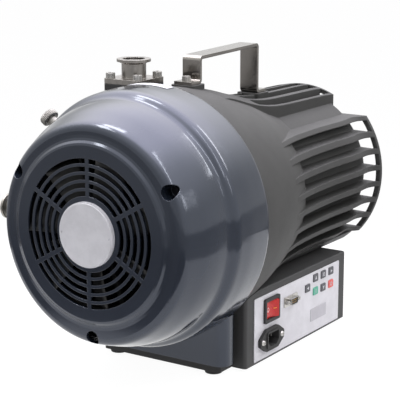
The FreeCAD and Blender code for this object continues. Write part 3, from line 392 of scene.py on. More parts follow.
@dataclass(frozen=True)
class BrushedMetal(Finish):
    """Ground or brushed metal, with the strokes along one axis."""

    stroke: Axis = Axis.Y
    smudging: float = 0.25
    stroke_scale: Pair = (18.0, 1500.0)
    stroke_depth: float = 0.00002

    def write(self, tree: Tree) -> None:
        """Metal with long fine scratches, smudges and darker edges.

        Args:
            tree: the material's tree.
        """
        at, soft, edge = self.begin(tree)
        strokes = tree.noise(tree.scaled(at, self.stroke.picked(*self.stroke_scale)), 1.0, 3.0, 0.6)
        smudge = tree.noise(at, 45.0, 4.0, 0.6)
        streak = strokes.rise(0.3, 0.7)
        body = self.shaded(tree, streak, 0.7, 1.08)
        body = tree.mix(smudge.rise(0.5, 0.75) * self.smudging, body, self.tone(0.7))
        body = tree.mix(edge * 0.5, body, self.tone(0.6))
        tree.shader(
            Base_Color=body, Metallic=1.0,
            Roughness=self.roughness + 0.16 * streak + 0.1 * smudge - 0.13,
            Normal=tree.bump(strokes, self.stroke_depth, 0.5, soft))


@dataclass(frozen=True)
class TurnedMetal(Finish):
    """Metal turned on a lathe, with fine grooves round an axis."""

    centre: Point = (0.0, 0.0, SHAFT_HEIGHT)
    axis: Axis = Axis.Y
    pitch: float = 0.35
    wander: float = 0.0004
    groove_depth: float = 0.000012

    def write(self, tree: Tree) -> None:
        """Metal with concentric tool marks, an oily film and painted highlights on the edges.

        Args:
            tree: the material's tree.
        """
        at, soft, edge = self.begin(tree)
        reach = tree.radial(at, tuple(c * MM for c in self.centre), self.axis)
        groove = tree.waves(reach + tree.noise(at, 30.0, 2.0) * self.wander, self.pitch)
        film = tree.noise(at, 70.0, 4.0, 0.6)
        body = self.shaded(tree, film.rise(0.35, 0.7), 0.85, 1.08)
        # Painted highlight: the colour is lightened on edges, where the softened normal departs.
        body = tree.mix(edge * 0.6, body, self.tone(1.3))
        tree.shader(
            Base_Color=body, Metallic=1.0, Roughness=self.roughness + 0.14 * film - 0.04 * groove,
            Normal=tree.bump(groove, self.groove_depth, 0.6, soft))


@dataclass(frozen=True)
class Plastic(Finish):
    """Moulded plastic, film or rubber."""

    grain: float = 0.00003
    grain_scale: float = 1600.0
    gloss_index: float = 1.46

    def write(self, tree: Tree) -> None:
        """A fine spark-eroded grain, slight mottling and a painted highlight on the edges.

        Args:
            tree: the material's tree.
        """
        at, soft, edge = self.begin(tree)
        cloud = tree.noise(at, 55.0, 4.0, 0.6)
        fine = tree.noise(at, self.grain_scale, 2.0, 0.5)
        body = self.shaded(tree, cloud.rise(0.3, 0.7), 0.94, 1.05)
        # Painted highlight: the colour is lightened on edges, where the softened normal departs.
        body = tree.mix(edge * 0.35, body, self.tone(1.3))
        tree.shader(
            Base_Color=body, Roughness=self.roughness + 0.1 * cloud - 0.05, IOR=self.gloss_index,
            Normal=tree.bump(fine, self.grain, 0.6, soft))


@dataclass(frozen=True)
class Laminated(Finish):
    """Stacked sheet iron or wound wire: fine stripes along one axis."""

    axis: Axis = Axis.Y
    pitch: float = 1.0
    metallic: float = 1.0
    joint_depth: float = 0.0002

    def write(self, tree: Tree) -> None:
        """Stripes with darker joints, and a thin uneven varnish.

        Args:
            tree: the material's tree.
        """
        at = tree.place()
        along = tree.vector("DOT_PRODUCT", at, self.axis.picked(1.0, 0.0), out=1)
        wave = tree.waves(along, self.pitch)
        varnish = tree.noise(at, 120.0, 4.0, 0.6)
        body = self.shaded(tree, wave ** 0.6, 0.45, 1.0)
        body = tree.mix(varnish.rise(0.4, 0.7) * 0.5, body, self.tone(0.7))
        tree.shader(
            Base_Color=body, Metallic=self.metallic, Roughness=self.roughness + 0.15 * varnish,
            Normal=tree.bump(wave, self.joint_depth, 0.7))


@dataclass(frozen=True)
class CircuitBoard(Finish):
    """Solder mask with copper tracks under it and tinned pads."""

    pad_scale: float = 260.0
    tin: Point = (190.0, 186.0, 172.0)
    track_waves: Pair = (520.0, 640.0)
    track_depth: float = 0.00004

    def write(self, tree: Tree) -> None:
        """A track pattern a shade lighter than the mask, and bright round pads.

        Args:
            tree: the material's tree.
        """
        at = tree.place()
        across = (tree.part(at, Axis.Y) * self.track_waves[0]).sine()
        up = (tree.part(at, Axis.Z) * self.track_waves[1]).sine()
        lane = (across * up).rise(0.1, 0.16)
        dots = tree.node("ShaderNodeTexVoronoi", None, {"Vector": at, "Scale": self.pad_scale})
        pad = 1.0 - dots.rise(0.16, 0.2)
        mask = self.shaded(tree, lane, 1.0, 1.7)
        tree.shader(
            Base_Color=tree.mix(pad, mask, srgb(*self.tin)), Metallic=pad,
            Roughness=self.roughness + 0.1 * lane,
            Normal=tree.bump(lane + pad, self.track_depth, 0.6))


COWL_PAINT = GlossPaint("cowl_enamel", (33, 39, 49), 0.12, 0.0009)
CASTING = CastPaint("casting_paint", (62, 62, 61), 0.68, 0.0014)
BASE_PAINT = CastPaint("base_paint", (30, 30, 31), 0.55, 0.0006, 0.00006)
BOX_PAINT = CastPaint("box_paint", (58, 58, 58), 0.58, 0.0007, 0.00008, 1400.0)
RUBBER = Plastic("foot_rubber", (24, 24, 25), 0.8, 0.0008, 0.00008, 700.0)
ALLOY = TurnedMetal("machined_alloy", (186, 187, 190), 0.34)
STEEL_STRAP = BrushedMetal("brushed_steel_strap", (150, 146, 141), 0.14, 0.0006)
STEEL_INLET = TurnedMetal(
    "turned_steel_inlet", (150, 146, 141), 0.25, 0.0004, (*INLET_XY, 0.0), Axis.Z, 0.3)
STEEL_EXHAUST = TurnedMetal(
    "turned_steel_exhaust", (140, 137, 130), 0.3, 0.0004, (0.0, *EXHAUST_YZ), Axis.X, 0.3)
BOLT = BrushedMetal("bolt_steel", (186, 184, 180), 0.3, 0.0003, Axis.Z, 0.15)
SHAFT_STEEL = TurnedMetal("shaft_steel", (158, 158, 160), 0.26)
BADGE = Plastic("badge_satin", (222, 222, 226), 0.34, 0.0003, 0.000008, 2600.0)
LABEL = Plastic("label_film", (208, 208, 211), 0.7, 0.0001, 0.00001)
GASKET = Plastic("gasket_rubber", (22, 22, 23), 0.75, 0.0002)
PANEL = Plastic("panel_film", (215, 214, 218), 0.42, 0.0004, 0.000012, 2200.0)
PLATE = Plastic("name_plate_film", (186, 184, 190), 0.36, 0.0002, 0.000012)
BLACK_PLASTIC = Plastic("black_plastic", (15, 16, 16), 0.36, 0.0006)
ROCKER_RED = Plastic("rocker_red", (196, 20, 16), 0.26, 0.0006, 0.00001, 1200.0)
KEY_GREY = Plastic("key_grey", (66, 66, 72), 0.45, 0.0005)
KEY_GREEN = Plastic("key_green", (84, 170, 132), 0.45, 0.0005)
KEY_RED = Plastic("key_red", (226, 92, 92), 0.45, 0.0005)
BOARD = CircuitBoard("board_mask", (20, 92, 50), 0.4)
IRON = Laminated("iron_sheets", (120, 120, 124), 0.42)
COPPER = Laminated("copper_wire", (196, 112, 60), 0.35, 0.0, Axis.Z, 1.1)
BRASS = TurnedMetal("brass", (176, 142, 78), 0.3, 0.0003)
# Near-black: partly the fan's own black plastic, partly painted shade for the fan seen through the
# grille.
FAN_PLASTIC = Plastic("fan_plastic", (5, 5, 6), 0.6, 0.0006)
BLACK_OXIDE = TurnedMetal("black_oxide", (30, 30, 33), 0.4, 0.0003)
# Near-black alloy for the fixed scroll: painted shade for the inside seen through the grille.
SHADED_SCROLL_ALLOY = TurnedMetal("scroll_alloy_painted_shade", (15, 16, 18), 0.7)
KNURLED = TurnedMetal("knurled_nickel", (128, 126, 122), 0.36, 0.0002)
GILT = TurnedMetal("gilt_contact", (212, 172, 96), 0.3, 0.0001)
MARK_WHITE = Plastic("mark_white", (236, 214, 212), 0.5, 0.0)
MARK_AMBER = Plastic("mark_amber", (238, 150, 60), 0.5, 0.0)
MARK_PALE = Plastic("mark_pale", (196, 196, 200), 0.5, 0.0)


@dataclass(frozen=True)
class Lamp:
    """A rectangular lamp that faces the pump.

    Its place is in degrees from the front towards the panel side and over the level, its
    size in metres, its radiance against white paper in full light, and its roll in degrees.
    """

    name: str
    azimuth: float
    height: float
    size: Pair
    radiance: float
    roll: float = 0.0
    distance: float = 2.2
    target: Point = (0.0, -50.0, 200.0)

    def hang(self) -> None:
        """Makes the lamp, which the camera doesn't see."""
        data = bpy.data.lights.new(self.name, "AREA")
        data.shape = "RECTANGLE"
        data.size, data.size_y = self.size
        data.energy = self.radiance * data.size * data.size_y * math.pi
        made = add_object(self.name, data)
        made.visible_camera = False
        way = direction(self.azimuth, self.height)
        aim = way.to_track_quat("Z", "Y").to_matrix().to_4x4()
        spin = Matrix.Rotation(math.radians(self.roll), 4, "Z")
        place = Vector(self.target) * MM + way * self.distance
        made.matrix_world = Matrix.Translation(place) @ aim @ spin


@dataclass(frozen=True)
class Studio:
    """The camera, the lamps, the surroundings and the floor, whose sizes are in metres."""

    stand: Point = (901.41, -1411.31, 558.25)
    heading: float = 33.387
    dip: float = 12.952
    lens: float = 125.81
    sensor: float = 36.0
    sight: float = 30.0
    lamps: tuple[Lamp, ...] = (
        Lamp("strip_side", 80.0, 50.0, (0.11, 1.7), 11.0, -15.0),
        Lamp("strip_low", 92.0, 24.0, (0.07, 0.45), 9.0),
        Lamp("strip_back", 143.0, 41.0, (0.14, 1.3), 14.0, -45.0),
        Lamp("strip_front", -50.0, 58.0, (0.8, 0.42), 13.0, -30.0),
        Lamp("strip_top", -91.0, 73.0, (0.45, 0.7), 12.0))
    walls: float = 0.34
    wall_right: float = 0.4
    right: Pair = (0.5, 0.95)
    ceiling: float = 6.1
    ceiling_light: float = 0.4
    ceiling_height: Pair = (0.2, 0.98)
    ceiling_side: Pair = (0.15, 0.7)
    ceiling_right: float = 0.48
    ceiling_reach: Pair = (-0.55, -0.05)
    ceiling_front: float = 0.3
    ceiling_tint: Colour = (0.985, 0.95, 1.06, 1.0)
    floor_reach: float = 6.0
    floor_white: float = 0.84
    board_light: float = 0.85
    board_dark: float = 0.16
    board_width: Pair = (-0.5, 0.5)
    board_length: Pair = (-0.42, 0.45)
    board_fade: float = 0.06
    board_glow: float = 0.3
    floor_glow: float = 1.14
    far: Pair = (0.75, 1.3)
    far_glow: float = 0.42
    beside: Pair = (0.46, 0.58)
    beside_glow: float = 0.5

    def camera(self) -> None:
        """Puts the camera where the photograph was taken from."""
        data = bpy.data.cameras.new("camera")
        data.lens = self.lens
        data.sensor_width = self.sensor
        data.clip_end = self.sight
        made = add_object("camera", data)
        turn = math.radians(self.heading)
        back = direction(self.heading, self.dip)
        right = Vector((math.cos(turn), math.sin(turn), 0.0))
        frame = Matrix((right, back.cross(right), back)).transposed().to_4x4()
        made.matrix_world = Matrix.Translation(Vector(self.stand) * MM) @ frame
        bpy.context.scene.camera = made

    def surroundings(self) -> None:
        """White to the camera and in reflections, and soft grey light elsewhere.

        The ceiling is brighter, above all in reflections, and weaker to the right and front.
        """
        world = bpy.data.worlds.new("surroundings")
        bpy.context.scene.world = world
        tree = Tree.within(world)
        way = tree.node("ShaderNodeTexCoord", out="Generated")
        side, back, up = (tree.part(way, axis) for axis in Axis)
        overhead = up.rise(*self.ceiling_height)
        overhead = overhead * side.rise(*self.ceiling_side, 1.0, self.ceiling_right)
        overhead = overhead * back.rise(*self.ceiling_reach, self.ceiling_front, 1.0)
        camera, glossy, through = (tree.ray(kind) for kind in ("Camera", "Glossy", "Transmission"))
        tint = tree.mix(overhead, WHITE, self.ceiling_tint)
        around = self.walls + (1.0 - self.walls) * (camera + glossy + through)
        around = around + self.wall_right * side.rise(*self.right) * glossy
        above = self.ceiling * (self.ceiling_light + (1.0 - self.ceiling_light) * glossy)
        strength = around + (above - around) * overhead * (1.0 - camera)
        sky = tree.node("ShaderNodeBackground", None, {"Color": tint, "Strength": strength})
        tree.node("ShaderNodeOutputWorld", None, {"Surface": sky})

    def floor(self) -> None:
        """A white floor that keeps the pump's shadow, with a pale board under the pump.

        In reflections it is dark beyond the board, except beside it and far away.
        """
        mesh = bpy.data.meshes.new("floor")
        reach = self.floor_reach
        corners = [(reach * x, reach * y, 0.0) for x, y in ((-1, -1), (1, -1), (1, 1), (-1, 1))]
        mesh.from_pydata(corners, [], [(0, 1, 2, 3)])
        material = bpy.data.materials.new("floor_white")
        tree = Tree.within(material)
        at = tree.place()
        board: Wire | float = 1.0
        for axis, (low, high) in ((Axis.X, self.board_width), (Axis.Y, self.board_length)):
            along = tree.part(at, axis)
            board = board * along.rise(low - self.board_fade, low)
            board = board * along.rise(high, high + self.board_fade, 1.0, 0.0)
        near, away = ((tone, tone, tone, 1.0) for tone in (self.board_light, self.board_dark))
        matt = tree.node("ShaderNodeBsdfDiffuse", None, {"Color": tree.mix(board, away, near)})
        seen, glossy, through = (tree.ray(kind) for kind in ("Camera", "Glossy", "Transmission"))
        beside = tree.part(at, Axis.X).rise(*self.beside)
        far = tree.vector("LENGTH", at, out=1).rise(*self.far) * self.far_glow
        around = beside * self.beside_glow + (1.0 - beside) * far
        pale = board + (1.0 - board) * around
        glow = tree.node("ShaderNodeEmission", None, {
            "Color": WHITE, "Strength": self.floor_glow + self.board_glow * glossy * board})
        both = tree.node("ShaderNodeMixShader", None, {
            0: (seen + through + glossy * pale) * self.floor_white, 1: matt, 2: glow})
        tree.node("ShaderNodeOutputMaterial", None, {"Surface": both})
        mesh.materials.append(material)
        add_object("floor", mesh)

    def build(self) -> None:
        """Sets the studio up."""
        bpy.context.scene.view_settings.view_transform = "Standard"
        self.camera()
        for lamp in self.lamps:
            lamp.hang()
        self.surroundings()
        self.floor()


class Form:
    """A mesh under construction, in millimetres."""

    def __init__(self) -> None:
        """Starts with nothing."""
        self.work = bmesh.new()

    def skin(self, rings: list[list[Vector]], hollow: bool = False) -> None:
        """Stretches a skin over rings of points.

        Args:
            rings: rings with equally many points each.
            hollow: joins the last ring to the first, where the ends are closed otherwise.
        """
        rows = [[self.work.verts.new(point) for point in ring] for ring in rings]
        pairs = list(zip(rows, rows[1:]))
        if hollow:
            pairs.append((rows[-1], rows[0]))
        else:
            self.work.faces.new(rows[0])
            self.work.faces.new(rows[-1])
        for low, high in pairs:
            for first in range(len(low)):
                second = (first + 1) % len(low)
                self.work.faces.new((low[first], low[second], high[second], high[first]))

    def turned(self, profile: list[Pair], foot: Point, way: Vector, steps: int = 72,
               hollow: bool = False, flutes: tuple[int, float] = (0, 0.0)) -> None:
        """Turns a profile about an axis.

        Args:
            profile: distances along the axis, each with its radius.
            foot: where the distance is 0.
            way: the direction of the axis.
            steps: how many sides a turn has.
            hollow: leaves the middle open, so that the profile is a closed outline.
            flutes: how many hollows run along the outside, and how deep they are.
        """
        side = way.orthogonal().normalized()
        across = way.cross(side).normalized()
        count, depth = flutes
        rings = []
        for distance, radius in profile:
            ring = []
            for step in range(steps):
                angle = FULL_TURN * step / steps
                shrink = depth * (0.5 + 0.5 * math.cos(count * angle)) ** 2 if count else 0.0
                out = side * math.cos(angle) + across * math.sin(angle)
                ring.append(Vector(foot) + way * distance + out * (radius - shrink))
            rings.append(ring)
        self.skin(rings, hollow)

    def facing(self, outline: list[Pair], centre: Pair, layers: list[Pair]) -> None:
        """Stacks scaled copies of an outline that faces the control panel's way.

        Args:
            outline: (y, z) pairs round the centre.
            centre: its y and z.
            layers: the x of each layer, with how far its outline is drawn in.
        """
        rings = []
        for x, inset in layers:
            ring = []
            for y, z in outline:
                keep = 1.0 - inset / max(math.hypot(y, z), 1e-6)
                ring.append(Vector((x, centre[0] + y * keep, centre[1] + z * keep)))
            rings.append(ring)
        self.skin(rings)

    def mesh(self, name: str, crease: float = 32.0) -> bpy.types.Mesh:
        """Finishes the mesh.

        Args:
            name: its name.
            crease: the angle in degrees over which an edge stays sharp.

        Returns:
            The mesh in metres, with its faces outwards.
        """
        bmesh.ops.recalc_face_normals(self.work, faces=self.work.faces)
        for face in self.work.faces:
            face.smooth = True
        made = bpy.data.meshes.new(name)
        self.work.to_mesh(made)
        self.work.free()
        made.transform(Matrix.Scale(MM, 4))
        made.set_sharp_from_angle(angle=math.radians(crease))
        return made


def rounded_outline(half_y: float, half_z: float, radius: float, steps: int = 6) -> list[Pair]:
    """A rectangle with round corners, as (y, z) pairs.

    Args:
        half_y, half_z: half its width and height.
        radius: the radius of its corners.
        steps: how many points a corner has, less one.

    Returns:
        The points in order.
    """
    found = []
    for quarter, (sign_y, sign_z) in enumerate(((1, 1), (-1, 1), (-1, -1), (1, -1))):
        for step in range(steps + 1):
            angle = math.radians(90.0 * (quarter + step / steps))
            found.append((
                sign_y * (half_y - radius) + radius * math.cos(angle),
                sign_z * (half_z - radius) + radius * math.sin(angle)))
    return found


def ellipse(half_y: float, half_z: float, steps: int = 40) -> list[Pair]:
    """An ellipse as (y, z) pairs."""
    turns = [FULL_TURN * n / steps for n in range(steps)]
    return [(half_y * math.cos(turn), half_z * math.sin(turn)) for turn in turns]


class Grower(Tree):
    """A Geometry Nodes tree with named inputs, which grows a piece on points."""

    weld = 0.000001

    def __init__(self, name: str, **sizes: float) -> None:
        """Makes the tree.

        Args:
            name: its name.
            sizes: its inputs with their values. A whole number makes a whole-number input.
        """
        self.group = bpy.data.node_groups.new(name, "GeometryNodeTree")
        super().__init__(self.group)
        self.sizes = sizes
        sockets = self.group.interface
        for way in ("INPUT", "OUTPUT"):
            sockets.new_socket("Geometry", in_out=way, socket_type="NodeSocketGeometry")
        for key, value in sizes.items():
            kind = "NodeSocketInt" if isinstance(value, int) else "NodeSocketFloat"
            sockets.new_socket(key, in_out="INPUT", socket_type=kind)
        self.entry = self.group.nodes.new("NodeGroupInput")

    def given(self, name: str) -> Wire:
        """The named input."""
        return Wire(self, self.entry.outputs[name])

    def together(self, *parts: Wire) -> Wire:
        """Joins geometry.

        Args:
            parts: what is joined, in order.

        Returns:
            All of it.
        """
        made = self.node("GeometryNodeJoinGeometry")
        for part in parts:
            self.tree.links.new(part.socket, made.socket.node.inputs[0])
        return made

    def thickened(self, sheet: Wire, depth: Wire | float, way: Wire | None = None) -> Wire:
        """Makes a sheet a closed solid.

        Args:
            sheet: the sheet.
            depth: how far it is pushed.
            way: the way it goes, which is otherwise the sheet's normal.

        Returns:
            The solid.
        """
        sockets = {"Mesh": sheet, "Offset Scale": depth, "Individual": False}
        if way is not None:
            sockets["Offset"] = way
        raised = self.node("GeometryNodeExtrudeMesh", {"mode": "FACES"}, sockets)
        under = self.node("GeometryNodeFlipFaces", None, {"Mesh": sheet})
        return self.node("GeometryNodeMergeByDistance", None, {
            "Geometry": self.together(raised, under), "Distance": self.weld})

    def column(self, outline: Wire, height: Wire | float, low: Wire | float) -> Wire:
        """Raises a flat outline into a closed solid.

        Args:
            outline: closed curves in the level plane, with holes inside others.
            height: how high it becomes.
            low: where it starts.

        Returns:
            The solid.
        """
        flat = self.node("GeometryNodeFillCurve", {"mode": "TRIANGLES"}, {"Curve": outline})
        flat = self.node("GeometryNodeTransform", None, {
            "Geometry": flat, "Translation": self.combined(Z=low)})
        return self.thickened(flat, 1.0, self.combined(Z=height))

    def circle(self, radius: Wire | float, sides: Wire | int) -> Wire:
        """A circle, or a polygon with few sides."""
        return self.node("GeometryNodeCurvePrimitiveCircle", {"mode": "RADIUS"}, {
            "Resolution": sides, "Radius": radius})

    def close(self, piece: Wire, finish: Finish, points: Wire | None = None,
              turn: Wire | Point = (0.0, 0.0, 0.0)) -> None:
        """Puts a piece on points and ends the tree in real geometry with a material.

        Args:
            piece: the piece.
            finish: its finish.
            points: the points, or nothing for those that the tree is given.
            turn: the turn of the piece on them.
        """
        placed = self.node("GeometryNodeInstanceOnPoints", None, {
            "Points": points or self.given("Geometry"), "Instance": piece, "Rotation": turn})
        real = self.node("GeometryNodeRealizeInstances", None, {"Geometry": placed})
        done = self.node("GeometryNodeSetMaterial", None, {
            "Geometry": real, "Material": finish.material()})
        self.node("NodeGroupOutput", None, {"Geometry": done})

    def grow(self, name: str, points: list[Point]) -> bpy.types.Mesh:
        """Runs the tree on points.

        Args:
            name: the name of the mesh.
            points: the places in millimetres.

        Returns:
            A plain mesh.
        """
        base = bpy.data.meshes.new(name + "_seats")
        base.from_pydata([Vector(point) * MM for point in points], [], [])
        carrier = add_object(name + "_seats", base)
        modifier = carrier.modifiers.new("grown", "NODES")
        modifier.node_group = self.group
        for item in self.group.interface.items_tree:
            if item.in_out == "INPUT" and item.name in self.sizes:
                modifier[item.identifier] = self.sizes[item.name]
        graph = bpy.context.evaluated_depsgraph_get()
        made = bpy.data.meshes.new_from_object(carrier.evaluated_get(graph))
        made.name = name
        carrier.modifiers.remove(modifier)
        bpy.data.objects.remove(carrier)
        bpy.data.meshes.remove(base)
        return made


class Shop:
    """Where the finishes go on the nodes and where new pieces are mounted."""

    def __init__(self, frame: dict) -> None:
        """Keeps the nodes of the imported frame."""
        self.nodes = frame["nodes"]

    def dress(self, finish: Finish, *nodes: str) -> None:
        """Puts a finish on nodes of the frame.

        Args:
            finish: the finish.
            nodes: the nodes' names.
        """
        for name in nodes:
            materials = self.nodes[name].data.materials
            count = len(materials)
            materials.clear()
            for _ in range(max(1, count)):
                materials.append(finish.material())
            log.info("%s: %s", name, finish.name)

    def mount(self, mesh: bpy.types.Mesh, finish: Finish, slot: str, *nodes: str,
              body: str = "pump") -> None:
        """Mounts a new piece on a body.

        Args:
            mesh: its mesh, whose name becomes the piece's.
            finish: its finish.
            slot: the record's material slot that it belongs to; not used.
            nodes: the nodes that it stands for.
            body: the body that it rides on.
        """
        mesh.materials.clear()
        mesh.materials.append(finish.material())
        made = add_object(mesh.name, mesh)
        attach(made, body)
        if nodes:
            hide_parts(*nodes)
        log.info("%s: %d faces on %s", made.name, len(mesh.polygons), body)


@dataclass(frozen=True)
class CapScrews:
    """Socket head screws with knurled heads, all of one size."""

    name: str
    seats: tuple[Point, ...]
    node: str
    head_radius: float
    head_height: float
    shank_length: float
    ribs: int = 26
    rib_depth: float = 0.16
    chamfer: float = 0.5
    key_radius: float = 2.9
    key_sides: int = 6
    shank_radius: float = 3.0
    crown_sides: int = 48
    shank_sides: int = 24

    def outline(self, tree: Grower, radius: Wire | float) -> Wire:
        """A circle whose edge is knurled, with four points to a rib.

        Args:
            tree: the screws' tree.
            radius: the circle's radius in metres.

        Returns:
            The curve.
        """
        plain = tree.circle(radius, tree.given("Ribs") * 4.0)
        place = tree.node("GeometryNodeInputPosition")
        step = tree.node("GeometryNodeInputIndex")
        swell = 1.0 + tree.given("Rib depth") * (step * (FULL_TURN / 4.0)).sine()
        moved = tree.node(
            "ShaderNodeVectorMath", {"operation": "SCALE"}, {0: place, "Scale": swell})
        return tree.node("GeometryNodeSetPosition", None, {"Geometry": plain, "Position": moved})

    def build(self, shop: Shop) -> None:
        """Makes the screws and mounts them in place of their node.

        Args:
            shop: where they are mounted.
        """
        tree = Grower(self.name + "_tree", **{
            "Head radius": self.head_radius * MM, "Head height": self.head_height * MM,
            "Key radius": self.key_radius * MM, "Shank radius": self.shank_radius * MM,
            "Shank length": self.shank_length * MM, "Ribs": self.ribs,
            "Rib depth": self.rib_depth / self.head_radius})
        radius, height = tree.given("Head radius"), tree.given("Head height")
        length = tree.given("Shank length")
        half = height * 0.5
        brim = self.chamfer * MM
        key = tree.circle(tree.given("Key radius"), self.key_sides)
        top = tree.circle(radius - 0.7 * brim, self.crown_sides)
        stem = tree.circle(tree.given("Shank radius"), self.shank_sides)
        solid = tree.column(self.outline(tree, radius), half, 0.0)
        collar = tree.column(tree.together(self.outline(tree, radius), key), half - brim, half)
        crown = tree.column(tree.together(top, key), brim, height - brim)
        shank = tree.column(stem, length, 0.0 - length)
        tree.close(tree.together(solid, collar, crown, shank), BOLT)
        shop.mount(tree.grow(self.name, list(self.seats)), BOLT, "bolt", self.node)


@dataclass(frozen=True)
class FanWheel:
    """The wheel of the cooling fan behind the grille."""

    blades: int = 7
    hub_radius: float = 28.0
    tip_radius: float = 82.0
    front: float = -256.8
    depth: float = 12.6
    boss_radius: float = 5.0
    bore_radius: float = 3.2
    chord: float = 34.0
    camber: float = 0.16
    pitch: float = 32.0
    sheet: float = 1.6
    root_width: float = 0.72
    widening: float = 0.4
    sweep: float = 0.12
    droop: float = 0.0011
    first_turn: float = 0.3
    points_out: int = 10
    points_across: int = 9

    def hub(self) -> bpy.types.Mesh:
        """The dished hub with its boss.

        Returns:
            The mesh.
        """
        form = Form()
        skirt, boss, bore = self.hub_radius, self.boss_radius, self.bore_radius
        form.turned(
            [(0.6, skirt - 6.0), (0.0, skirt - 3.5), (0.5, skirt - 1.2), (1.6, skirt),
             (self.depth, skirt), (self.depth, skirt - 2.0), (4.0, skirt - 2.0), (4.0, boss),
             (self.depth, boss), (self.depth, bore), (1.4, bore), (1.0, 6.0)],
            (0.0, self.front, SHAFT_HEIGHT), Vector((0.0, 1.0, 0.0)), 72, hollow=True)
        return form.mesh("fan_hub")

    def blade(self, tree: Grower) -> Wire:
        """One curved blade that widens towards its tip.

        Args:
            tree: the blades' tree.

        Returns:
            The solid.
        """
        inner, outer, chord = tree.given("Inner"), tree.given("Outer"), tree.given("Chord")
        sheet = tree.node("GeometryNodeMeshGrid", None, {
            "Size X": outer - inner, "Size Y": chord,
            "Vertices X": self.points_out, "Vertices Y": self.points_across})
        place = tree.node("GeometryNodeInputPosition")
        across, back = tree.part(place, Axis.X), tree.part(place, Axis.Y)
        reach = across + (outer + inner) * 0.5
        share = reach / outer
        width = self.root_width + self.widening * share
        rise = tree.given("Camber") * (chord * 0.25 - (back * back) / chord)
        curved = tree.combined(
            X=reach, Y=back * width + self.sweep * across, Z=rise - self.droop * share)
        bent = tree.node("GeometryNodeSetPosition", None, {"Geometry": sheet, "Position": curved})
        leaned = tree.node("GeometryNodeTransform", None, {
            "Geometry": bent, "Rotation": tree.combined(X=tree.given("Pitch"))})
        solid = tree.thickened(leaned, tree.given("Sheet"))
        return tree.node("GeometryNodeSetShadeSmooth", None, {"Geometry": solid})

    def build(self, shop: Shop) -> None:
        """Makes the hub and the blades and mounts them on the fan's body.

        Args:
            shop: where they are mounted.
        """
        shop.mount(self.hub(), FAN_PLASTIC, "black_plastic", "fan_rotor", body="fan")
        tree = Grower("fan_blade_tree", **{
            "Blades": self.blades, "Inner": (self.hub_radius - 1.0) * MM,
            "Outer": self.tip_radius * MM, "Chord": self.chord * MM, "Camber": self.camber,
            "Pitch": math.radians(self.pitch), "Sheet": self.sheet * MM})
        count = tree.given("Blades")
        spots = tree.node("GeometryNodeMeshLine", {"mode": "OFFSET"}, {
            "Count": count, "Offset": (0.0, 0.0, 0.0)})
        step = tree.node("GeometryNodeInputIndex")
        spin = tree.combined(Z=step * FULL_TURN / count + self.first_turn)
        tree.close(self.blade(tree), FAN_PLASTIC, spots, spin)
        blades = tree.grow("fan_blades", [(0.0, 0.0, 0.0)])
        middle = Vector((0.0, self.front + self.depth * 0.5 + 0.2, SHAFT_HEIGHT)) * MM
        blades.transform(Matrix.Translation(middle) @ Matrix.Rotation(math.radians(90.0), 4, "X"))
        shop.mount(blades, FAN_PLASTIC, "black_plastic", body="fan")


@dataclass(frozen=True)
class BallastKnob:
    """The fluted knob of the gas ballast valve, at the upper left of the cowl."""

    along: Point = (-0.8, 0.0, 0.6)
    start: Point = (0.0, -160.0, SHAFT_HEIGHT)
    bottom: float = 155.4
    neck_radius: float = 8.4
    head_radius: float = 10.8
    top: float = 172.6
    flutes: tuple[int, float] = (36, 0.55)
    head_sides: int = 216

    def build(self, shop: Shop) -> None:
        """Turns the knob, cuts its flutes and mounts it on its own body.

        Args:
            shop: where it is mounted.
        """
        way = Vector(self.along)
        form = Form()
        low, neck, top, head = self.bottom, self.neck_radius, self.top, self.head_radius
        form.turned(
            [(low, neck - 0.8), (low + 0.8, neck), (low + 2.6, neck), (low + 3.4, neck - 2.0),
             (low + 8.2, neck - 2.0)], self.start, way, 48)
        form.turned(
            [(top - 9.4, head - 2.0), (top - 8.6, head - 0.6), (top - 7.8, head),
             (top - 2.0, head), (top - 0.8, head - 0.7), (top, head - 2.2)],
            self.start, way, self.head_sides, flutes=self.flutes)
        form.turned([(top - 1.0, 4.6), (top + 0.5, 4.4), (top + 0.9, 3.8)], self.start, way, 6)
        shop.mount(form.mesh("ballast_grip"), KNURLED, "bolt", "ballast_knob", body="ballast")


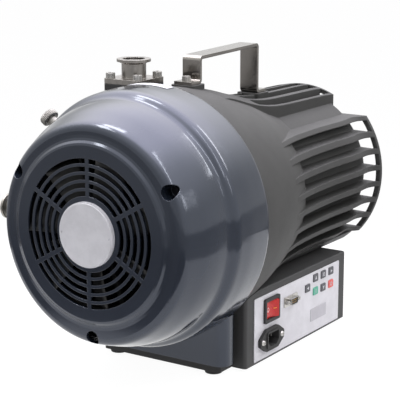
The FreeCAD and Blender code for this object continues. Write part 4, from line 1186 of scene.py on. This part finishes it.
@dataclass(frozen=True)
class PowerSwitch:
    """The red rocker with its marks."""

    half_long: float = 12.0
    half_high: float = 10.6
    tip: float = 3.4
    sag: float = 2.6
    pivot_depth: float = 4.0
    pressed: float = 10.0
    arc_steps: int = 20
    middle: float = 100.0
    back: tuple[Pair, ...] = ((98.5, 11.4), (93.5, 4.0), (93.5, -4.0), (98.5, -11.4))
    edges: tuple[Pair, ...] = ((0.0, 0.7), (0.4, 0.2), (1.0, 0.0))
    mark_foot: float = -0.1
    mark_top: float = 0.14
    ring_shift: float = -6.2
    bar_shift: float = 6.4

    def surface(self, y: float) -> float:
        """How far the rocker's hollow face is from the panel, at y from its middle."""
        radius = (self.half_long ** 2 + self.sag ** 2) / (2.0 * self.sag)
        return self.tip - self.sag + radius - math.sqrt(radius ** 2 - y ** 2)

    def tilted(self, form: Form, name: str, crease: float = 32.0) -> bpy.types.Mesh:
        """Finishes a mesh and turns it about the rocker's pivot to the rest position.

        Args:
            form: the mesh under construction.
            name: its name.
            crease: the angle in degrees over which an edge stays sharp.

        Returns:
            The mesh.
        """
        mesh = form.mesh(name, crease)
        pivot = Vector((PANEL_FACE - self.pivot_depth, *SWITCH_YZ)) * MM
        turn = Matrix.Rotation(math.radians(-self.pressed), 4, "Z")
        mesh.transform(Matrix.Translation(pivot) @ turn @ Matrix.Translation(-pivot))
        return mesh

    def rocker(self) -> bpy.types.Mesh:
        """The body of the rocker with softened edges.

        Returns:
            The mesh.
        """
        steps = range(self.arc_steps + 1)
        arc = [self.half_long * (2.0 * n / self.arc_steps - 1.0) for n in steps]
        side = [(PANEL_FACE + self.surface(y), y) for y in arc] + list(self.back)
        layers = [(depth - self.half_high, inset) for depth, inset in self.edges]
        layers += [(self.half_high - depth, inset) for depth, inset in reversed(self.edges)]
        rings = []
        for z, inset in layers:
            ring = []
            for x, y in side:
                keep = 1.0 - inset / math.hypot(x - self.middle, y)
                ring.append(Vector((
                    self.middle + (x - self.middle) * keep,
                    SWITCH_YZ[0] + y * keep, SWITCH_YZ[1] + z)))
            rings.append(ring)
        form = Form()
        form.skin(rings)
        return self.tilted(form, "rocker_button", 40.0)

    def mark(self, name: str, outer: list[Pair], inner: list[Pair] | None,
             shift: float) -> bpy.types.Mesh:
        """A raised mark that follows the hollow face.

        Args:
            name: the mark's name.
            outer: its outline as (y, z) pairs round its middle.
            inner: the outline of the hole in it.
            shift: how far its middle is from the rocker's.

        Returns:
            The mesh.
        """
        def ring(outline: list[Pair], lift: float) -> list[Vector]:
            """The outline on the face, lifted off it."""
            face = PANEL_FACE + lift
            return [
                Vector((face + self.surface(y + shift), SWITCH_YZ[0] + y + shift, SWITCH_YZ[1] + z))
                for y, z in outline]
        rings = [ring(outer, self.mark_foot), ring(outer, self.mark_top)]
        if inner is not None:
            rings += [ring(inner, self.mark_top), ring(inner, self.mark_foot)]
        form = Form()
        form.skin(rings, hollow=inner is not None)
        return self.tilted(form, name)

    def build(self, shop: Shop) -> None:
        """Makes the rocker, its ring and bar, and mounts them on the switch's body.

        Args:
            shop: where they are mounted.
        """
        shop.mount(self.rocker(), ROCKER_RED, "rocker", "rocker", body="switch")
        ring = self.mark("rocker_ring", ellipse(2.3, 2.9), ellipse(1.6, 2.1), self.ring_shift)
        shop.mount(ring, MARK_WHITE, "label", body="switch")
        bar = self.mark("rocker_bar", rounded_outline(2.5, 0.55, 0.3), None, self.bar_shift)
        shop.mount(bar, MARK_AMBER, "label", body="switch")


class Symbol(Enum):
    """What a key shows. An arrow's value is its direction in degrees."""

    LEFT = 180.0
    UP = 90.0
    RIGHT = 0.0
    DOWN = 270.0
    BAR = -1.0
    RING = -2.0
    LINES = -3.0


KEY_FINISHES: dict[Symbol, tuple[Finish, str]] = {
    Symbol.BAR: (KEY_GREEN, "key_green"), Symbol.RING: (KEY_RED, "key_red")}


@dataclass(frozen=True)
class Keypad:
    """The seven keys of the panel with raised symbols on them."""

    centres: tuple[Pair, ...] = (
        (39.8, 67.2), (60.0, 75.9), (79.8, 75.7), (99.8, 75.5),
        (60.0, 58.9), (79.8, 58.8), (99.8, 58.7))
    symbols: tuple[Symbol, ...] = (
        Symbol.LEFT, Symbol.UP, Symbol.LINES, Symbol.RIGHT, Symbol.BAR, Symbol.DOWN, Symbol.RING)
    half_width: float = 5.8
    half_height: float = 4.8
    rim: float = 0.8
    proud: float = 1.4
    back: float = 97.2
    symbol_foot: float = -0.4
    symbol_top: float = 0.02
    arrow_reach: float = 2.7
    arrow_turns: Point = (0.0, 130.0, 230.0)
    line_shifts: Point = (-1.7, 0.0, 1.7)

    def cap(self, number: int) -> bpy.types.Mesh:
        """The cap with its foot, a soft edge and a slightly hollow face.

        Args:
            number: the key's number, from 0.

        Returns:
            The mesh.
        """
        front = PANEL_FACE + self.proud
        foot = rounded_outline(self.half_width + self.rim, self.half_height + self.rim, 0.5)
        face = rounded_outline(self.half_width, self.half_height, 1.0)
        form = Form()
        form.facing(foot, self.centres[number], [(self.back, 0.0), (self.back + 2.5, 0.0)])
        form.facing(
            face, self.centres[number],
            [(self.back + 2.1, 0.0), (front - 0.7, 0.0), (front - 0.25, 0.16), (front, 0.6),
             (front - 0.02, 1.1), (front - 0.16, 2.4), (front - 0.18, 4.0)])
        return form.mesh("key_cap_%d" % (number + 1), 50.0)

    def symbol(self, number: int) -> bpy.types.Mesh:
        """The raised symbol of a key.

        Args:
            number: the key's number, from 0.

        Returns:
            The mesh.
        """
        kind = self.symbols[number]
        face = PANEL_FACE + self.proud
        low, high = face + self.symbol_foot, face + self.symbol_top
        layers = [(low, 0.0), (high, 0.0)]
        y, z = centre = self.centres[number]
        form = Form()
        if kind is Symbol.BAR:
            form.facing(rounded_outline(0.55, 2.6, 0.4), centre, layers)
        elif kind is Symbol.RING:
            rise = self.symbol_top - self.symbol_foot
            form.turned([(0.0, 2.5), (rise, 2.5), (rise, 1.7), (0.0, 1.7)],
                        (low, y, z), Vector((1.0, 0.0, 0.0)), 40, hollow=True)
        elif kind is Symbol.LINES:
            for shift in self.line_shifts:
                form.facing(rounded_outline(2.6, 0.42, 0.3), (y, z + shift), layers)
        else:
            reach = self.arrow_reach
            tips = [math.radians(kind.value + turn) for turn in self.arrow_turns]
            form.facing([(reach * math.cos(a), reach * math.sin(a)) for a in tips], centre, layers)
        return form.mesh("key_symbol_%d" % (number + 1))

    def build(self, shop: Shop) -> None:
        """Makes the keys and mounts each on its own body.

        Args:
            shop: where they are mounted.
        """
        for number, kind in enumerate(self.symbols):
            node, body = "key_%d" % (number + 1), "button_%d" % (number + 1)
            finish, slot = KEY_FINISHES.get(kind, (KEY_GREY, "key_grey"))
            shop.mount(self.cap(number), finish, slot, node, body=body)
            shop.mount(self.symbol(number), MARK_PALE, "label", body=body)


@dataclass(frozen=True)
class SignalContacts:
    """The nine gilt contacts of the signal connector."""

    centre: Pair = (-1.5, 62.8)
    spacing: float = 2.7
    row_height: float = 1.4
    radius: float = 0.62
    bore: float = 0.4
    sides: int = 16
    front: float = 5.75
    length: float = 2.0

    def build(self, shop: Shop) -> None:
        """Makes the contacts and mounts them on the pump.

        Args:
            shop: where they are mounted.
        """
        tree = Grower("contact_tree", **{
            "Radius": self.radius * MM, "Bore": self.bore * MM, "Length": self.length * MM})
        wall = tree.together(*(
            tree.circle(tree.given(name), self.sides) for name in ("Radius", "Bore")))
        sleeve = tree.column(wall, tree.given("Length"), 0.0)
        tree.close(sleeve, GILT, turn=(0.0, math.radians(90.0), 0.0))
        rows = [(n - 2.0, 1.0) for n in range(5)] + [(n - 1.5, -1.0) for n in range(4)]
        start = PANEL_FACE + self.front - self.length
        seats = [
            (start, self.centre[0] + self.spacing * across, self.centre[1] + self.row_height * up)
            for across, up in rows]
        shop.mount(tree.grow("signal_contacts", seats), GILT, "bolt")


DRESSED: list[tuple[Finish, str]] = [
    (COWL_PAINT, "front_cowl"),
    (CASTING, "motor_housing pump_housing rear_cap"),
    (BASE_PAINT, "base_plate"),
    (BOX_PAINT, "control_box"),
    (RUBBER, "rubber_feet"),
    (SHADED_SCROLL_ALLOY, "fixed_scroll"),
    (ALLOY, "orbiting_scroll"),
    (STEEL_STRAP, "handle_strap"),
    (STEEL_INLET, "inlet_flange"),
    (STEEL_EXHAUST, "exhaust_port"),
    (BLACK_OXIDE, "cowl_screws fan_screws scroll_screws"),
    (BOLT, "inlet_screws handle_screws rear_cap_screws signal_shell"
           " socket_screws socket_pins signal_jacks ballast_knob"),
    (SHAFT_STEEL, "crankshaft aux_crank_1 aux_crank_2 aux_crank_3 counterweight orbit_bearing"
                  " main_bearing main_bearing_race rear_bearing rear_bearing_race"),
    (BADGE, "badge_disc"),
    (LABEL, "blank_label"),
    (GASKET, "inlet_gasket exhaust_gasket shaft_seal"),
    (PANEL, "control_panel"),
    (PLATE, "name_plate"),
    (BLACK_PLASTIC, "switch_bezel power_socket signal_insert board_parts"),
    (ROCKER_RED, "rocker"),
    (KEY_GREY, "key_1 key_2 key_3 key_4 key_6"),
    (KEY_GREEN, "key_5"),
    (KEY_RED, "key_7"),
    (BOARD, "driver_board key_board"),
    (IRON, "rotor_core stator_core"),
    (COPPER, "stator_windings"),
    (BRASS, "ballast_body"),
    (FAN_PLASTIC, "fan_frame fan_rotor"),
]


def main() -> None:
    """Builds the studio, dresses the nodes and mounts the detailed pieces."""
    logging.basicConfig(level=logging.INFO, format="%(name)s: %(message)s")
    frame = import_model()
    Studio().build()
    shop = Shop(frame)
    for finish, names in DRESSED:
        shop.dress(finish, *names.split())
    corners = tuple(
        (INLET_XY[0] + x * INLET_SCREW_REACH, INLET_XY[1] + y * INLET_SCREW_REACH, INLET_TOP)
        for x in (-1, 1) for y in (-1, 1))
    CapScrews("inlet_cap_screws", corners, "inlet_screws", 5.3, 6.4, 17.4).build(shop)
    CapScrews("handle_cap_screws", HANDLE_SEATS, "handle_screws", 5.0, 6.0, 17.0).build(shop)
    FanWheel().build(shop)
    BallastKnob().build(shop)
    PowerSwitch().build(shop)
    Keypad().build(shop)
    SignalContacts().build(shop)


if __name__ == "__main__":
    main()
